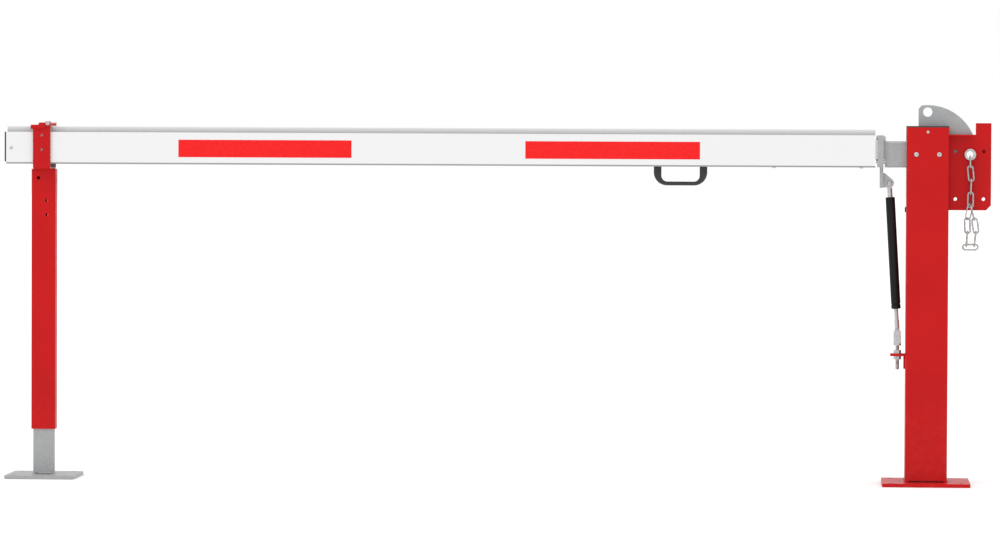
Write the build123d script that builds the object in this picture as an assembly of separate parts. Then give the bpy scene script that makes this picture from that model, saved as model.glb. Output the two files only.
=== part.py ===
"""Manual lift-up boom barrier: a hinged post, a 2.5 m boom with a gas strut, and a telescopic support leg.

Frame: origin at the centre of the underside of the post's base plate, +X away from the boom, the boom
lying along -X, +Y to the back, +Z up. All sizes are millimetres. Each function makes one or more
separate pieces, and the last block writes one STEP file per piece.
"""

from build123d import *
from math import atan2, cos, degrees, hypot, radians, sin, sqrt
import os

# ---- driving dimensions -------------------------------------------------------------------------

# fits
PART_GAP = 0.3          # between curved or separately moving faces
RUNNING_GAP = 0.05      # radial, shaft in bush and pin in eye
SEAT_GAP = 0.05         # radial, screw shank in its hole

# small edges
EDGE_CHAMFER = 1.0
EAR_CORNER_R = 3.0
SCREW_PROUD = 2.0       # a screw or bolt past what it is threaded in

# post
BASE_SIDE = 250.0
BASE_THICK = 10.0
BASE_CORNER_R = 4.0
BASE_BOLT_SPACING = 200.0
BASE_BOLT_HOLE = 14.0
POST_SIDE = 120.0
POST_WALL = 4.0
POST_CORNER_R = 7.0
PIVOT_Z = 945.0
POST_RISE = 77.0          # post top above the pivot
BASE_VENT_WIDTH = 100.0
CAP_THICK = 4.0
CAP_SKIRT_DEPTH = 26.0
CAP_SKIRT_THICK = 6.0
CAP_SCREW_DROP = 13.0
CAP_SCREW_D = 5.0

# pivot
SHAFT_D = 30.0
BUSH_WALL = 4.0
BEARING_PLATE_THICK = 8.0
BEARING_BOSS_D = 48.0
BEARING_LENGTH = 20.0
BEARING_BOLT_SPACING = 65.0
BEARING_BOLT_D = 8.0
BEARING_NUT_ACROSS = 13.0
BEARING_BOSS_CHAMFER = 1.5
BEARING_EAR_R = 12.0
COLLAR_D = 46.0

# boom arm inside the post
ARM_HEIGHT = 75.0
ARM_DEPTH = 60.0
ARM_WALL = 5.0
ARM_CORNER_R = 6.0
ARM_BACK_X = 35.0
ARM_REACH = 61.0           # past the post's side
ARM_SLOT_GAP = 3.0

# locking quadrant
QUADRANT_RIM = 20.0        # rim past the locking hole
QUADRANT_THICK = 8.0
QUADRANT_EDGE = 26.0
QUADRANT_CHAMFER = 9.0
LOCK_HOLE_D = 26.5
LOCK_HOLE_REACH = 61.0     # past the post's side
QUADRANT_SLOT_GAP = 3.0

# lock guard
GUARD_THICK = 5.0
GUARD_SPACING = 24.0
GUARD_REACH = 121.0
GUARD_LOW_Z = -159.0
GUARD_STEP_Z = 57.0
GUARD_TAB_Z = 90.0
GUARD_TAB_REACH = 77.5
GUARD_LIP_LENGTH = 66.0
GUARD_LIP_REACH = 20.0
GUARD_CHAMFER = 14.0
GUARD_HOLE_D = 10.5
GUARD_HOLE_REACHES = (20.0, 100.0)
GUARD_HOLE_Z = (9.0, -127.0)
LOCK_BUSH_D = 33.0
LOCK_BUSH_BORE = 20.0
LOCK_BUSH_STEP = 4.0       # the flange past the neck
LOCK_BUSH_PROUD = 14.0

# flange joint between the arm and the boom
SPACER_THICK = 5.0
HANGER_THICK = 9.5
FLANGE_THICK = 6.5
FLANGE_GAP = 7.0
FLANGE_WIDTH = 94.0
FLANGE_TOP = 54.0
FLANGE_BOTTOM = -37.5
HANGER_BOTTOM = -96.0
HANGER_NECK_WIDTH = 50.0
SPACER_TOP = 40.0
SPACER_BOTTOM = -14.0
FLANGE_BOLT_D = 6.0
FLANGE_BOLT_Y = 38.0
FLANGE_NUT_ACROSS = 10.0

# boom
BOOM_LENGTH = 2500.0
BOOM_DEPTH = 96.0
BOOM_TOP = 54.0
BOOM_BOTTOM = -38.0
BOOM_WALL = 2.5
BOOM_BOTTOM_R = 6.0
RAIL_DEPTH = 46.0
RAIL_TOP = 71.0
INSERT_TOP = 41.0
INSERT_BOTTOM = -15.0
INSERT_WALL = 4.0
INSERT_CORNER_R = 3.0
INSERT_REACH = 330.0
INSERT_SCREW_INSETS = (39.5, 289.0)
INSERT_SCREW_D = 6.0
TAPE_LENGTH = 500.0
TAPE_HEIGHT = 50.0
TAPE_THICK = 0.4
TAPE_CENTRE_Z = 8.0
TAPE_STARTS = (500.0, 1500.0)
END_CAP_THICK = 4.5
END_CAP_LIFT = 6.0         # clear of the boom's lower band
END_CAP_SKIRT = 26.0
END_CAP_SKIRT_THICK = 6.0
END_SCREW_INSET = 15.0
END_SCREW_D = 5.0

# handle
HANDLE_START = 480.0       # from the boom's near end
HANDLE_WIDTH = 153.0
HANDLE_DROP = 54.0
HANDLE_LEG = 21.5
HANDLE_GRIP = 11.0
HANDLE_DEPTH = 24.0
HANDLE_OUTER_R = 38.0
HANDLE_INNER_R = 17.0
HANDLE_EDGE_R = 3.5
HANDLE_SCREW_D = 6.0
HANDLE_HOLE_DEPTH = 20.0

# gas strut
STRUT_TOP_OUT = 48.0       # past the post's side
STRUT_TOP_DROP = 82.0
STRUT_FOOT_OUT = 22.5
STRUT_FOOT_DROP = 514.0
CYLINDER_D = 27.0
CYLINDER_WALL = 2.0
CYLINDER_LOW = 72.0
CYLINDER_HIGH = 392.0
CYLINDER_EDGE_R = 2.0
GLAND_LENGTH = 18.0
CYLINDER_END = 12.0
ROD_SPARE = 30.0           # rod left inside when the strut is open
PISTON_LENGTH = 10.0
ROD_D = 12.0
NECK_D = 14.0
NECK_LENGTH = 40.0
EYE_D = 18.0
EYE_BORE = 8.0
EYE_THICK = 9.0
EYE_SIDE_GAP = 0.5
EYE_TONGUE = 16.0
EAR_THICK = 5.0
EAR_OUT = 35.0
EAR_TOP = -54.0
EAR_TOP_FLAT = 5.0
TOP_NUT_ACROSS = 13.0
TOP_NUT_THICK = 6.5
FORK_SIDE = 22.0
FORK_SLOT = 10.0
FORK_TOP = 13.0
FORK_BOTTOM = -27.0
FORK_SLOT_DEPTH = 14.0
STUD_SHORT = 2.0           # stud end below the clevis slot
CLEVIS_HEAD_D = 13.0
CLEVIS_HEAD = 3.0
CLEVIS_TAIL = 4.0
RETAINER_D = 12.0
RETAINER_Y = (0.5, 2.0)
STUD_D = 11.5
STUD_BOTTOM = -616.0
NUT_ACROSS = 19.0
STUD_NUT_THICK = 10.0
LOCK_NUT_THICK = 6.0
BRACKET_THICK = 7.0
BRACKET_TOP = -570.0
BRACKET_DROP = 43.0
BRACKET_OUT = 43.0
BRACKET_WIDTH = 50.0
BRACKET_CORNER_R = 8.0
BRACKET_LEG_THICK = 5.0
PLUG_D = 16.0
PLUG_PROUD = 4.0
PLUG_LIP = 2.0
PLUG_Z = -158.0

# support leg
LEG_INSET = 104.0         # leg's middle from the boom's end
LEG_WIDTH = 70.0
LEG_DEPTH = 40.0
LEG_WALL = 4.5
LEG_CORNER_R = 5.0
LEG_BORE_R = 2.0
LEG_SLIDE_GAP = 0.5
LEG_DROP = 53.0           # leg top below the pivot
LEG_BOTTOM_Z = 140.0
LEG_INNER_WALL = 3.0
LEG_INNER_CORNER_R = 4.0
VENT_INSET = 8.0
VENT_HEIGHT = 3.5
LEG_INNER_TOP_Z = 520.0
FOOT_SIDE = 200.0
FOOT_THICK = 10.0
FOOT_CORNER_R = 3.0
FOOT_BOLT_SPACING = 150.0
FOOT_BOLT_HOLE = 12.0
LEG_PIN_HOLE = 7.0
LEG_PIN_X = 9.0
LEG_PIN_DROPS = (185.0, 144.0)
LEG_KEY_HOLE = 10.0
LEG_KEY_X = -14.5
LEG_KEY_DROP = 79.0
LEG_SIDE_HOLE = 6.0
LEG_SIDE_HOLE_DROP = 86.0
CLAMP_SCREW_D = 8.0
CLAMP_SCREW_Z = 200.0
CLAMP_REACH = 14.0
KNOB_D = 26.0
KNOB_GAP = 4.0

# fork on the leg and its latch
FORK_WIDTH = 50.0
FORK_THICK = 5.0
FORK_BOOM_GAP = 2.0
FORK_BEND_R = 9.0
PAD_INSET = 1.0
PAD_EDGE_R = 1.5
STRAP_RISE = 67.0
EAR_RISE = 85.0
EAR_X = (11.0, 25.0)
STRAP_HOLE_D = 8.0
STRAP_HOLE_RISES = (3.0, 44.0)
FLAP_THICK = 3.5
FLAP_LEFT = -31.0
FLAP_LIP_DROP = 9.0
FLAP_TAB_THICK = 4.0
FLAP_NOTCH = 1.0
FLAP_BACK_INSET = 1.0
LATCH_PIN_D = 7.0
LATCH_PIN_RISE = 79.0
LATCH_HEAD_D = 12.0
LATCH_HEAD = 4.0
LATCH_HEAD_R = 1.5
LATCH_TAIL = 5.0           # pin past its clip hole
HINGE_PIN_D = 5.0
KNUCKLE_D = 10.0
KNUCKLE_HALF = 13.0        # half the middle knuckle's length
LUG_FOOT = 10.0
HINGE_HEAD_RIM = 2.0
HINGE_HEAD = 2.0
CLIP_WIRE = 2.0
CLIP_REACH = 22.0
CLIP_SPREAD = 9.0
CLIP_FROM_TAB = 5.0
CLIP_HOLE_ROOM = 0.5

# chain
CHAIN_WIRE = 5.0
CHAIN_SLOT_ROOM = 1.0
LINK_LENGTH = 48.0
LINK_WIDTH = 20.0
FIRST_LINK_LENGTH = 38.0
FIRST_LINK_GAP = 0.7
LOOP_WIDTH = 22.5
SHACKLE_WIRE = 3.5
SHACKLE_WIDTH = 33.5
SHACKLE_TURN = 60.0
SHACKLE_FORWARD = 0.8

# ---- derived places -----------------------------------------------------------------------------

HALF_POST = POST_SIDE / 2
POST_TOP_Z = PIVOT_Z + POST_RISE
CAP_SCREW_Z = POST_TOP_Z - CAP_SCREW_DROP
INNER_POST = HALF_POST - POST_WALL
ARM_FRONT_X = -HALF_POST - ARM_REACH
LOCK_HOLE_RADIUS = HALF_POST + LOCK_HOLE_REACH
QUADRANT_R = LOCK_HOLE_RADIUS + QUADRANT_RIM
GUARD_END_X = HALF_POST + GUARD_REACH
GUARD_TAB_X = HALF_POST + GUARD_TAB_REACH
GUARD_LIP_END_X = HALF_POST + GUARD_LIP_LENGTH
GUARD_HOLE_X = tuple(HALF_POST + reach for reach in GUARD_HOLE_REACHES)
STRUT_TOP = (-HALF_POST - STRUT_TOP_OUT, -STRUT_TOP_DROP)
STRUT_FOOT = (-HALF_POST - STRUT_FOOT_OUT, -STRUT_FOOT_DROP)
EAR_REACH_X = -HALF_POST - EAR_OUT
BRACKET_REACH_X = -HALF_POST - BRACKET_OUT
HANGER_X = ARM_FRONT_X - SPACER_THICK
FLANGE_X = HANGER_X - HANGER_THICK
INSERT_X = FLANGE_X - FLANGE_THICK
BOOM_X = INSERT_X - FLANGE_GAP
INSERT_SCREW_X = tuple(BOOM_X - inset for inset in INSERT_SCREW_INSETS)
TAPE_START_X = tuple(BOOM_X - start for start in TAPE_STARTS)
HANDLE_RIGHT_X = BOOM_X - HANDLE_START
BOOM_END_X = BOOM_X - BOOM_LENGTH
BOOM_FACE_Y = BOOM_DEPTH / 2
LEG_X = BOOM_END_X + LEG_INSET
LEG_TOP_Z = PIVOT_Z - LEG_DROP
LEG_PIN_Z = tuple(PIVOT_Z - drop for drop in LEG_PIN_DROPS)
LEG_KEY_PLACE = (LEG_KEY_X, PIVOT_Z - LEG_KEY_DROP)
STRAP_TOP_Z = PIVOT_Z + STRAP_RISE
EAR_TOP_Z = PIVOT_Z + EAR_RISE
STRAP_HOLE_Z = tuple(PIVOT_Z + rise for rise in STRAP_HOLE_RISES)
LATCH_PIN_Z = PIVOT_Z + LATCH_PIN_RISE
FORK_INNER_Y = BOOM_FACE_Y + FORK_BOOM_GAP
FORK_OUTER_Y = FORK_INNER_Y + FORK_THICK
FLAP_Z = PIVOT_Z + RAIL_TOP + PART_GAP
HINGE_Y = FORK_OUTER_Y + KNUCKLE_D / 2
HINGE_Z = FLAP_Z + KNUCKLE_D / 2
FLAP_TAB_Y = FORK_INNER_Y - PART_GAP
CLIP_Y = -FLAP_TAB_Y + FLAP_TAB_THICK + CLIP_FROM_TAB
GUARD_FACE_Y = GUARD_SPACING / 2 + GUARD_THICK
FLANGE_NUT_R = FLANGE_NUT_ACROSS / sqrt(3)
FLANGE_BOLT_Z = (INSERT_TOP + FLANGE_NUT_R + PART_GAP, INSERT_BOTTOM - FLANGE_NUT_R - PART_GAP)
EAR_NOSE = EAR_REACH_X - STRUT_TOP[0]
CHAIN_SLOT_Y = LINK_WIDTH / 2 - CHAIN_WIRE / 2
CHAIN_SLOT_WIDTH = CHAIN_WIRE + 2 * CHAIN_SLOT_ROOM
CHAIN_Y = -GUARD_FACE_Y - LOCK_BUSH_PROUD


# ---- helpers ------------------------------------------------------------------------------------


def block(x, y, z):
    """A box from three (low, high) pairs."""
    size = [high - low for low, high in (x, y, z)]
    middle = [(high + low) / 2 for low, high in (x, y, z)]
    return Pos(*middle) * Box(*size)


def rod_x(y, z, diameter, x):
    """A round bar along X between the pair x."""
    return Pos((x[0] + x[1]) / 2, y, z) * Rot(0, 90, 0) * Cylinder(diameter / 2, x[1] - x[0])


def rod_y(x, z, diameter, y):
    """A round bar along Y between the pair y."""
    return Pos(x, (y[0] + y[1]) / 2, z) * Rot(90, 0, 0) * Cylinder(diameter / 2, y[1] - y[0])


def rod_z(x, y, diameter, z):
    """A round bar along Z between the pair z."""
    return Pos(x, y, (z[0] + z[1]) / 2) * Cylinder(diameter / 2, z[1] - z[0])


def plate_y(outline, y):
    """A flat outline drawn in X and Z, given thickness along Y between the pair y."""
    face = Plane(origin=(0, y[1], 0), x_dir=(1, 0, 0), z_dir=(0, -1, 0)) * outline
    return extrude(face, y[1] - y[0])


def bar_x(section, x):
    """A section drawn in Y and Z, run along X between the pair x."""
    face = Plane(origin=(x[0], 0, 0), x_dir=(0, 1, 0), z_dir=(1, 0, 0)) * section
    return extrude(face, x[1] - x[0])


def bar_z(section, z):
    """A section drawn in X and Y, run along Z between the pair z."""
    return extrude(Pos(0, 0, z[0]) * section, z[1] - z[0])


def outline(points):
    """A closed flat face through the points."""
    return make_face(Polyline(*points, close=True))


def button_screw(diameter, length, grip_from):
    """A button-head screw along +Z: the head's underside at grip_from, the shank going up from it."""
    head = Pos(0, 0, grip_from - diameter * 0.25) * Cylinder(diameter * 0.875, diameter * 0.5)
    rim = head.edges().group_by(Axis.Z)[0]
    head = fillet(rim, diameter * 0.35)
    socket = Pos(0, 0, grip_from - diameter * 0.4) * extrude(
        RegularPolygon(diameter * 0.3, 6), diameter * 0.25, both=True
    )
    shank = rod_z(0, 0, diameter, (grip_from, grip_from + length))
    return head - socket + shank


def hex_nut(across, thick, bore):
    """A hexagon nut standing on Z = 0."""
    body = extrude(RegularPolygon(across / 2, 6, major_radius=False), thick)
    return body - rod_z(0, 0, bore, (0, thick))


def facing_front(shape, x, y, z):
    """Turns a shape built along +Z to point along +Y from (x, y, z)."""
    return Pos(x, y, z) * Rot(-90, 0, 0) * shape


def both_sides(shape):
    """The shape and its mirror image across the XZ plane."""
    return [shape, mirror(shape, about=Plane.XZ)]


def at_pivot(z):
    """A height given from the pivot axis, as a height above the ground."""
    return PIVOT_Z + z


def around_pivot(pair):
    """A low and high pair given from the pivot axis."""
    return at_pivot(pair[0]), at_pivot(pair[1])


def corner_holes(spacing, diameter, z):
    """Four holes on a square."""
    half = spacing / 2
    return [rod_z(sx * half, sy * half, diameter, z) for sx in (-1, 1) for sy in (-1, 1)]


# ---- post ---------------------------------------------------------------------------------------


def base_plate():
    """The square plate under the post, with its four anchor holes."""
    plate = bar_z(RectangleRounded(BASE_SIDE, BASE_SIDE, BASE_CORNER_R), (0, BASE_THICK))
    for hole in corner_holes(BASE_BOLT_SPACING, BASE_BOLT_HOLE, (0, BASE_THICK)):
        plate -= hole
    return plate


def post_tube():
    """The square post: slotted on the left for the arm and on the right for the quadrant."""
    tube = bar_z(RectangleRounded(POST_SIDE, POST_SIDE, POST_CORNER_R), (BASE_THICK, POST_TOP_Z))
    inner_r = POST_CORNER_R - POST_WALL
    tube -= bar_z(
        RectangleRounded(2 * INNER_POST, 2 * INNER_POST, inner_r), (BASE_THICK, POST_TOP_Z)
    )
    arm_half = ARM_DEPTH / 2 + ARM_SLOT_GAP
    arm_low = at_pivot(-ARM_HEIGHT / 2 - ARM_SLOT_GAP)
    tube -= block((-HALF_POST, -INNER_POST), (-arm_half, arm_half), (arm_low, POST_TOP_Z))
    blade_half = QUADRANT_THICK / 2 + QUADRANT_SLOT_GAP
    sweep = sqrt(QUADRANT_R**2 - INNER_POST**2)
    blade_low = at_pivot(-sweep - QUADRANT_SLOT_GAP)
    tube -= block((INNER_POST, HALF_POST), (-blade_half, blade_half), (blade_low, POST_TOP_Z))
    half_vent = BASE_VENT_WIDTH / 2
    tube -= block(
        (-half_vent, half_vent), (-HALF_POST, HALF_POST), (BASE_THICK, BASE_THICK + VENT_HEIGHT)
    )
    half_bolts = BEARING_BOLT_SPACING / 2
    for x in (-half_bolts, half_bolts):
        tube -= rod_y(x, PIVOT_Z, BEARING_BOLT_D + 2 * SEAT_GAP, (-HALF_POST, HALF_POST))
    tube -= rod_y(0, CAP_SCREW_Z, CAP_SCREW_D + 2 * SEAT_GAP, (-HALF_POST, HALF_POST))
    tube -= rod_x(0, at_pivot(PLUG_Z), PLUG_D - 2 * PLUG_LIP, (-HALF_POST, -INNER_POST))
    return tube


def post_cap():
    """The front half of the top cap: a strip beside the arm's slot, with a block for its screw."""
    arm_side = -(ARM_DEPTH / 2 + ARM_SLOT_GAP)
    blade_side = -(QUADRANT_THICK / 2 + QUADRANT_SLOT_GAP)
    right_edge = ARM_HEIGHT / 2 + ARM_SLOT_GAP
    z = (POST_TOP_Z, POST_TOP_Z + CAP_THICK)
    cover = bar_z(RectangleRounded(POST_SIDE, POST_SIDE, POST_CORNER_R), z)
    cover &= block((-HALF_POST, HALF_POST), (-HALF_POST, blade_side), z)
    cover -= block((-HALF_POST, right_edge), (arm_side, blade_side), z)
    inner = INNER_POST - PART_GAP
    skirt = block(
        (-BEARING_BOLT_SPACING / 2, BEARING_BOLT_SPACING / 2),
        (-inner, -inner + CAP_SKIRT_THICK),
        (POST_TOP_Z - CAP_SKIRT_DEPTH, POST_TOP_Z),
    )
    cap = cover + skirt
    return cap - rod_y(0, CAP_SCREW_Z, CAP_SCREW_D + 2 * SEAT_GAP, (-HALF_POST, 0))


def cap_screws():
    """One button screw on each face, holding the two cap halves."""
    length = POST_WALL + PART_GAP + CAP_SKIRT_THICK
    screw = facing_front(button_screw(CAP_SCREW_D, length, 0), 0, -HALF_POST, CAP_SCREW_Z)
    return both_sides(screw)


def bearing_housing():
    """The front two-bolt flange housing, bored for its bush."""
    y_outer = -INNER_POST
    y_plate = y_outer + BEARING_PLATE_THICK
    half = BEARING_BOLT_SPACING / 2
    ears = [Pos(x, 0) * Circle(BEARING_EAR_R) for x in (-half, half)]
    flange_face = make_hull((Circle(BEARING_BOSS_D / 2) + ears[0] + ears[1]).edges())
    housing = plate_y(Pos(0, PIVOT_Z) * flange_face, (y_outer, y_plate))
    boss = rod_y(0, PIVOT_Z, BEARING_BOSS_D, (y_outer, y_outer + BEARING_LENGTH))
    housing += chamfer(boss.edges().sort_by(Axis.Y)[-1], BEARING_BOSS_CHAMFER)
    bore = SHAFT_D + 2 * RUNNING_GAP + 2 * BUSH_WALL
    housing -= rod_y(0, PIVOT_Z, bore, (y_outer, 0))
    for x in (-half, half):
        housing -= rod_y(x, PIVOT_Z, BEARING_BOLT_D + 2 * SEAT_GAP, (y_outer, y_plate))
    return housing


def bearing_bush():
    """The bronze bush in the front housing."""
    bore = SHAFT_D + 2 * RUNNING_GAP
    y = (-INNER_POST, -INNER_POST + BEARING_LENGTH)
    return rod_y(0, PIVOT_Z, bore + 2 * BUSH_WALL, y) - rod_y(0, PIVOT_Z, bore, y)


def bearing_bolts():
    """Button-head bolts through the post's front and back walls into the housings, with their nuts."""
    grip = POST_WALL + BEARING_PLATE_THICK
    nut_thick = BEARING_BOLT_D * 0.8
    bolt = button_screw(BEARING_BOLT_D, grip + nut_thick, 0)
    nut = Pos(0, 0, grip) * hex_nut(BEARING_NUT_ACROSS, nut_thick, BEARING_BOLT_D + 2 * SEAT_GAP)
    pieces = []
    for x in (-BEARING_BOLT_SPACING / 2, BEARING_BOLT_SPACING / 2):
        for piece in (bolt, nut):
            pieces += both_sides(facing_front(piece, x, -HALF_POST, PIVOT_Z))
    return pieces


def side_plug():
    """The domed plastic plug in the access hole below the arm."""
    z = at_pivot(PLUG_Z)
    dome = rod_x(0, z, PLUG_D, (-HALF_POST - PLUG_PROUD, -HALF_POST))
    dome = fillet(dome.edges().sort_by(Axis.X)[0], PLUG_PROUD * 0.8)
    neck_d = PLUG_D - 2 * PLUG_LIP - 2 * SEAT_GAP
    return dome + rod_x(0, z, neck_d, (-HALF_POST, -INNER_POST + PLUG_LIP))


def guard_plate(hole_rows):
    """The front guard plate with its raised tab and bent lip; hole_rows are the rows of holes it has."""
    y = (-GUARD_FACE_Y, -GUARD_SPACING / 2)
    face = outline(
        [
            (HALF_POST, GUARD_LOW_Z),
            (GUARD_END_X - GUARD_CHAMFER, GUARD_LOW_Z),
            (GUARD_END_X, GUARD_LOW_Z + GUARD_CHAMFER),
            (GUARD_END_X, GUARD_TAB_Z),
            (GUARD_TAB_X, GUARD_TAB_Z),
            (GUARD_TAB_X, GUARD_STEP_Z),
            (HALF_POST, GUARD_STEP_Z),
        ]
    )
    plate = plate_y(Pos(0, PIVOT_Z) * face, y)
    lip_x = (HALF_POST, GUARD_LIP_END_X)
    step_z = at_pivot(GUARD_STEP_Z)
    lip = block(lip_x, (y[0] - GUARD_LIP_REACH, y[0]), (step_z - GUARD_THICK, step_z))
    plate += lip
    bend = [
        edge
        for edge in plate.edges().filter_by(Axis.X)
        if abs(edge.center().Y - y[0]) < 0.01 and abs(edge.center().Z - step_z + GUARD_THICK) < 0.01
    ]
    plate = fillet(bend, GUARD_THICK)
    outer_bend = [
        edge
        for edge in plate.edges().filter_by(Axis.X)
        if abs(edge.center().Y - y[1]) < 0.01
        and abs(edge.center().Z - step_z) < 0.01
        and edge.center().X < GUARD_TAB_X
    ]
    plate = fillet(outer_bend, GUARD_THICK * 0.6)
    for x in GUARD_HOLE_X:
        for z in hole_rows:
            plate -= rod_y(x, at_pivot(z), GUARD_HOLE_D, y)
    return plate - rod_y(LOCK_HOLE_RADIUS, PIVOT_Z, LOCK_BUSH_D - 2 * LOCK_BUSH_STEP + 2 * SEAT_GAP, y)


def lock_bush(chained):
    """The front collar of the locking hole; the chained one has a slot for the first link."""
    inner_y = -QUADRANT_THICK / 2 - QUADRANT_SLOT_GAP
    front_y = -GUARD_FACE_Y - (LOCK_BUSH_PROUD if chained else GUARD_THICK)
    x = LOCK_HOLE_RADIUS
    bush = rod_y(x, PIVOT_Z, LOCK_BUSH_D, (front_y, -GUARD_FACE_Y))
    bush = chamfer(bush.edges().sort_by(Axis.Y)[0], EDGE_CHAMFER)
    bush += rod_y(x, PIVOT_Z, LOCK_BUSH_D - 2 * LOCK_BUSH_STEP, (-GUARD_FACE_Y, inner_y))
    bush -= rod_y(x, PIVOT_Z, LOCK_BUSH_BORE, (front_y, inner_y))
    if chained:
        slot = Pos(x, front_y + CHAIN_SLOT_Y, PIVOT_Z - LOCK_BUSH_D / 2) * extrude(
            SlotOverall(2 * CHAIN_SLOT_WIDTH, CHAIN_SLOT_WIDTH), LOCK_BUSH_D / 2
        )
        bush -= slot
    return bush


# ---- boom ---------------------------------------------------------------------------------------


def pivot_shaft():
    """The turning shaft across the post."""
    end = INNER_POST - PART_GAP
    shaft = rod_y(0, PIVOT_Z, SHAFT_D, (-end, end))
    return chamfer(shaft.edges().filter_by(GeomType.CIRCLE), EDGE_CHAMFER)


def shaft_collar():
    """The front spacer ring between the arm and the bearing."""
    y = (-INNER_POST + BEARING_LENGTH + PART_GAP, -ARM_DEPTH / 2)
    return rod_y(0, PIVOT_Z, COLLAR_D, y) - rod_y(0, PIVOT_Z, SHAFT_D + 2 * SEAT_GAP, y)


def arm_tube():
    """The short steel arm from the shaft to the boom's flange, slotted for the quadrant."""
    x = (ARM_FRONT_X, ARM_BACK_X)
    outer = Pos(0, PIVOT_Z) * RectangleRounded(ARM_DEPTH, ARM_HEIGHT, ARM_CORNER_R)
    hollow = Pos(0, PIVOT_Z) * RectangleRounded(
        ARM_DEPTH - 2 * ARM_WALL, ARM_HEIGHT - 2 * ARM_WALL, ARM_CORNER_R - ARM_WALL
    )
    tube = bar_x(outer, x) - bar_x(hollow, x)
    tube -= rod_y(0, PIVOT_Z, SHAFT_D + 2 * SEAT_GAP, (-ARM_DEPTH / 2, ARM_DEPTH / 2))
    half = QUADRANT_THICK / 2 + SEAT_GAP
    top = at_pivot(ARM_HEIGHT / 2)
    tube -= block((-QUADRANT_EDGE - SEAT_GAP, ARM_BACK_X), (-half, half), (top - ARM_WALL, top))
    return tube


def quadrant():
    """The sector plate with a locking hole for each end of the travel."""
    edge = -QUADRANT_EDGE
    rim = QUADRANT_R
    top = sqrt(rim**2 - edge**2)
    reach = top
    start = atan2(edge, reach)
    end = atan2(top - QUADRANT_CHAMFER * 0.5, edge + QUADRANT_CHAMFER)
    end_point = (rim * cos(end), rim * sin(end))
    arc_middle = ((rim * cos((start + end) / 2)), (rim * sin((start + end) / 2)))
    border = [
        Polyline(
            end_point,
            (edge, top - QUADRANT_CHAMFER),
            (edge, edge),
            (reach - QUADRANT_CHAMFER, edge),
            (rim * cos(-end + radians(90)), rim * sin(-end + radians(90))),
        ),
        ThreePointArc(
            (rim * cos(-end + radians(90)), rim * sin(-end + radians(90))), arc_middle, end_point
        ),
    ]
    y = (-QUADRANT_THICK / 2, QUADRANT_THICK / 2)
    plate = plate_y(Pos(0, PIVOT_Z) * make_face(border), y)
    plate -= rod_y(0, PIVOT_Z, SHAFT_D + 2 * SEAT_GAP, y)
    plate -= rod_y(0, at_pivot(LOCK_HOLE_RADIUS), LOCK_HOLE_D, y)
    return plate - rod_y(LOCK_HOLE_RADIUS, PIVOT_Z, LOCK_HOLE_D, y)


def spacer_plate():
    """The dark packing plate between the arm and the hanger plate."""
    z = around_pivot((SPACER_BOTTOM, SPACER_TOP))
    return block((HANGER_X, ARM_FRONT_X), (-ARM_DEPTH / 2, ARM_DEPTH / 2), z)


def flange_holes(x):
    """The four bolt holes of the flange joint."""
    return [
        rod_x(y, at_pivot(z), FLANGE_BOLT_D + 2 * SEAT_GAP, x)
        for y in (-FLANGE_BOLT_Y, FLANGE_BOLT_Y)
        for z in FLANGE_BOLT_Z
    ]


def hanger_plate():
    """The arm's flange, with a narrower tail that carries the strut's ears."""
    x = (FLANGE_X, HANGER_X)
    half = FLANGE_WIDTH / 2
    neck = HANGER_NECK_WIDTH / 2
    plate = block(x, (-half, half), around_pivot((FLANGE_BOTTOM, FLANGE_TOP)))
    plate += block(x, (-neck, neck), around_pivot((HANGER_BOTTOM, FLANGE_BOTTOM)))
    for hole in flange_holes(x):
        plate -= hole
    return plate


def boom_flange():
    """The flange of the boom's insert."""
    x = (INSERT_X, FLANGE_X)
    half = FLANGE_WIDTH / 2
    plate = block(x, (-half, half), around_pivot((FLANGE_BOTTOM, FLANGE_TOP)))
    for hole in flange_holes(x):
        plate -= hole
    return plate


def flange_bolts():
    """Four hexagon bolts and nuts that clamp the two flanges."""
    grip = HANGER_THICK + FLANGE_THICK
    head_thick = FLANGE_BOLT_D * 0.65
    nut_thick = FLANGE_BOLT_D * 0.8
    head = extrude(RegularPolygon(FLANGE_NUT_R, 6), head_thick)
    shank_end = grip + nut_thick + SCREW_PROUD
    bolt = Pos(0, 0, -head_thick) * head + rod_z(0, 0, FLANGE_BOLT_D, (0, shank_end))
    nut = Pos(0, 0, grip) * hex_nut(FLANGE_NUT_ACROSS, nut_thick, FLANGE_BOLT_D + 2 * SEAT_GAP)
    pieces = []
    for y in (-FLANGE_BOLT_Y, FLANGE_BOLT_Y):
        for z in FLANGE_BOLT_Z:
            place = Pos(INSERT_X, y, at_pivot(z)) * Rot(0, 90, 0)
            pieces += [place * bolt, place * nut]
    return pieces


def insert_section():
    """The outline of the steel insert in Y and Z, from the pivot axis."""
    width = BOOM_DEPTH - 2 * BOOM_WALL - 2 * PART_GAP
    height = INSERT_TOP - INSERT_BOTTOM
    return Pos(0, at_pivot((INSERT_TOP + INSERT_BOTTOM) / 2)) * RectangleRounded(
        width, height, INSERT_CORNER_R
    )


def boom_insert():
    """The steel box that runs into the boom's middle chamber, tapped for the screws below."""
    x = (BOOM_X - INSERT_REACH, INSERT_X)
    hollow = offset(insert_section(), -INSERT_WALL, kind=Kind.INTERSECTION)
    box = bar_x(insert_section(), x) - bar_x(hollow, x)
    for screw_x in INSERT_SCREW_X:
        z = around_pivot((INSERT_BOTTOM, INSERT_BOTTOM + INSERT_WALL))
        box -= rod_z(screw_x, 0, INSERT_SCREW_D + 2 * SEAT_GAP, z)
    return box


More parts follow.
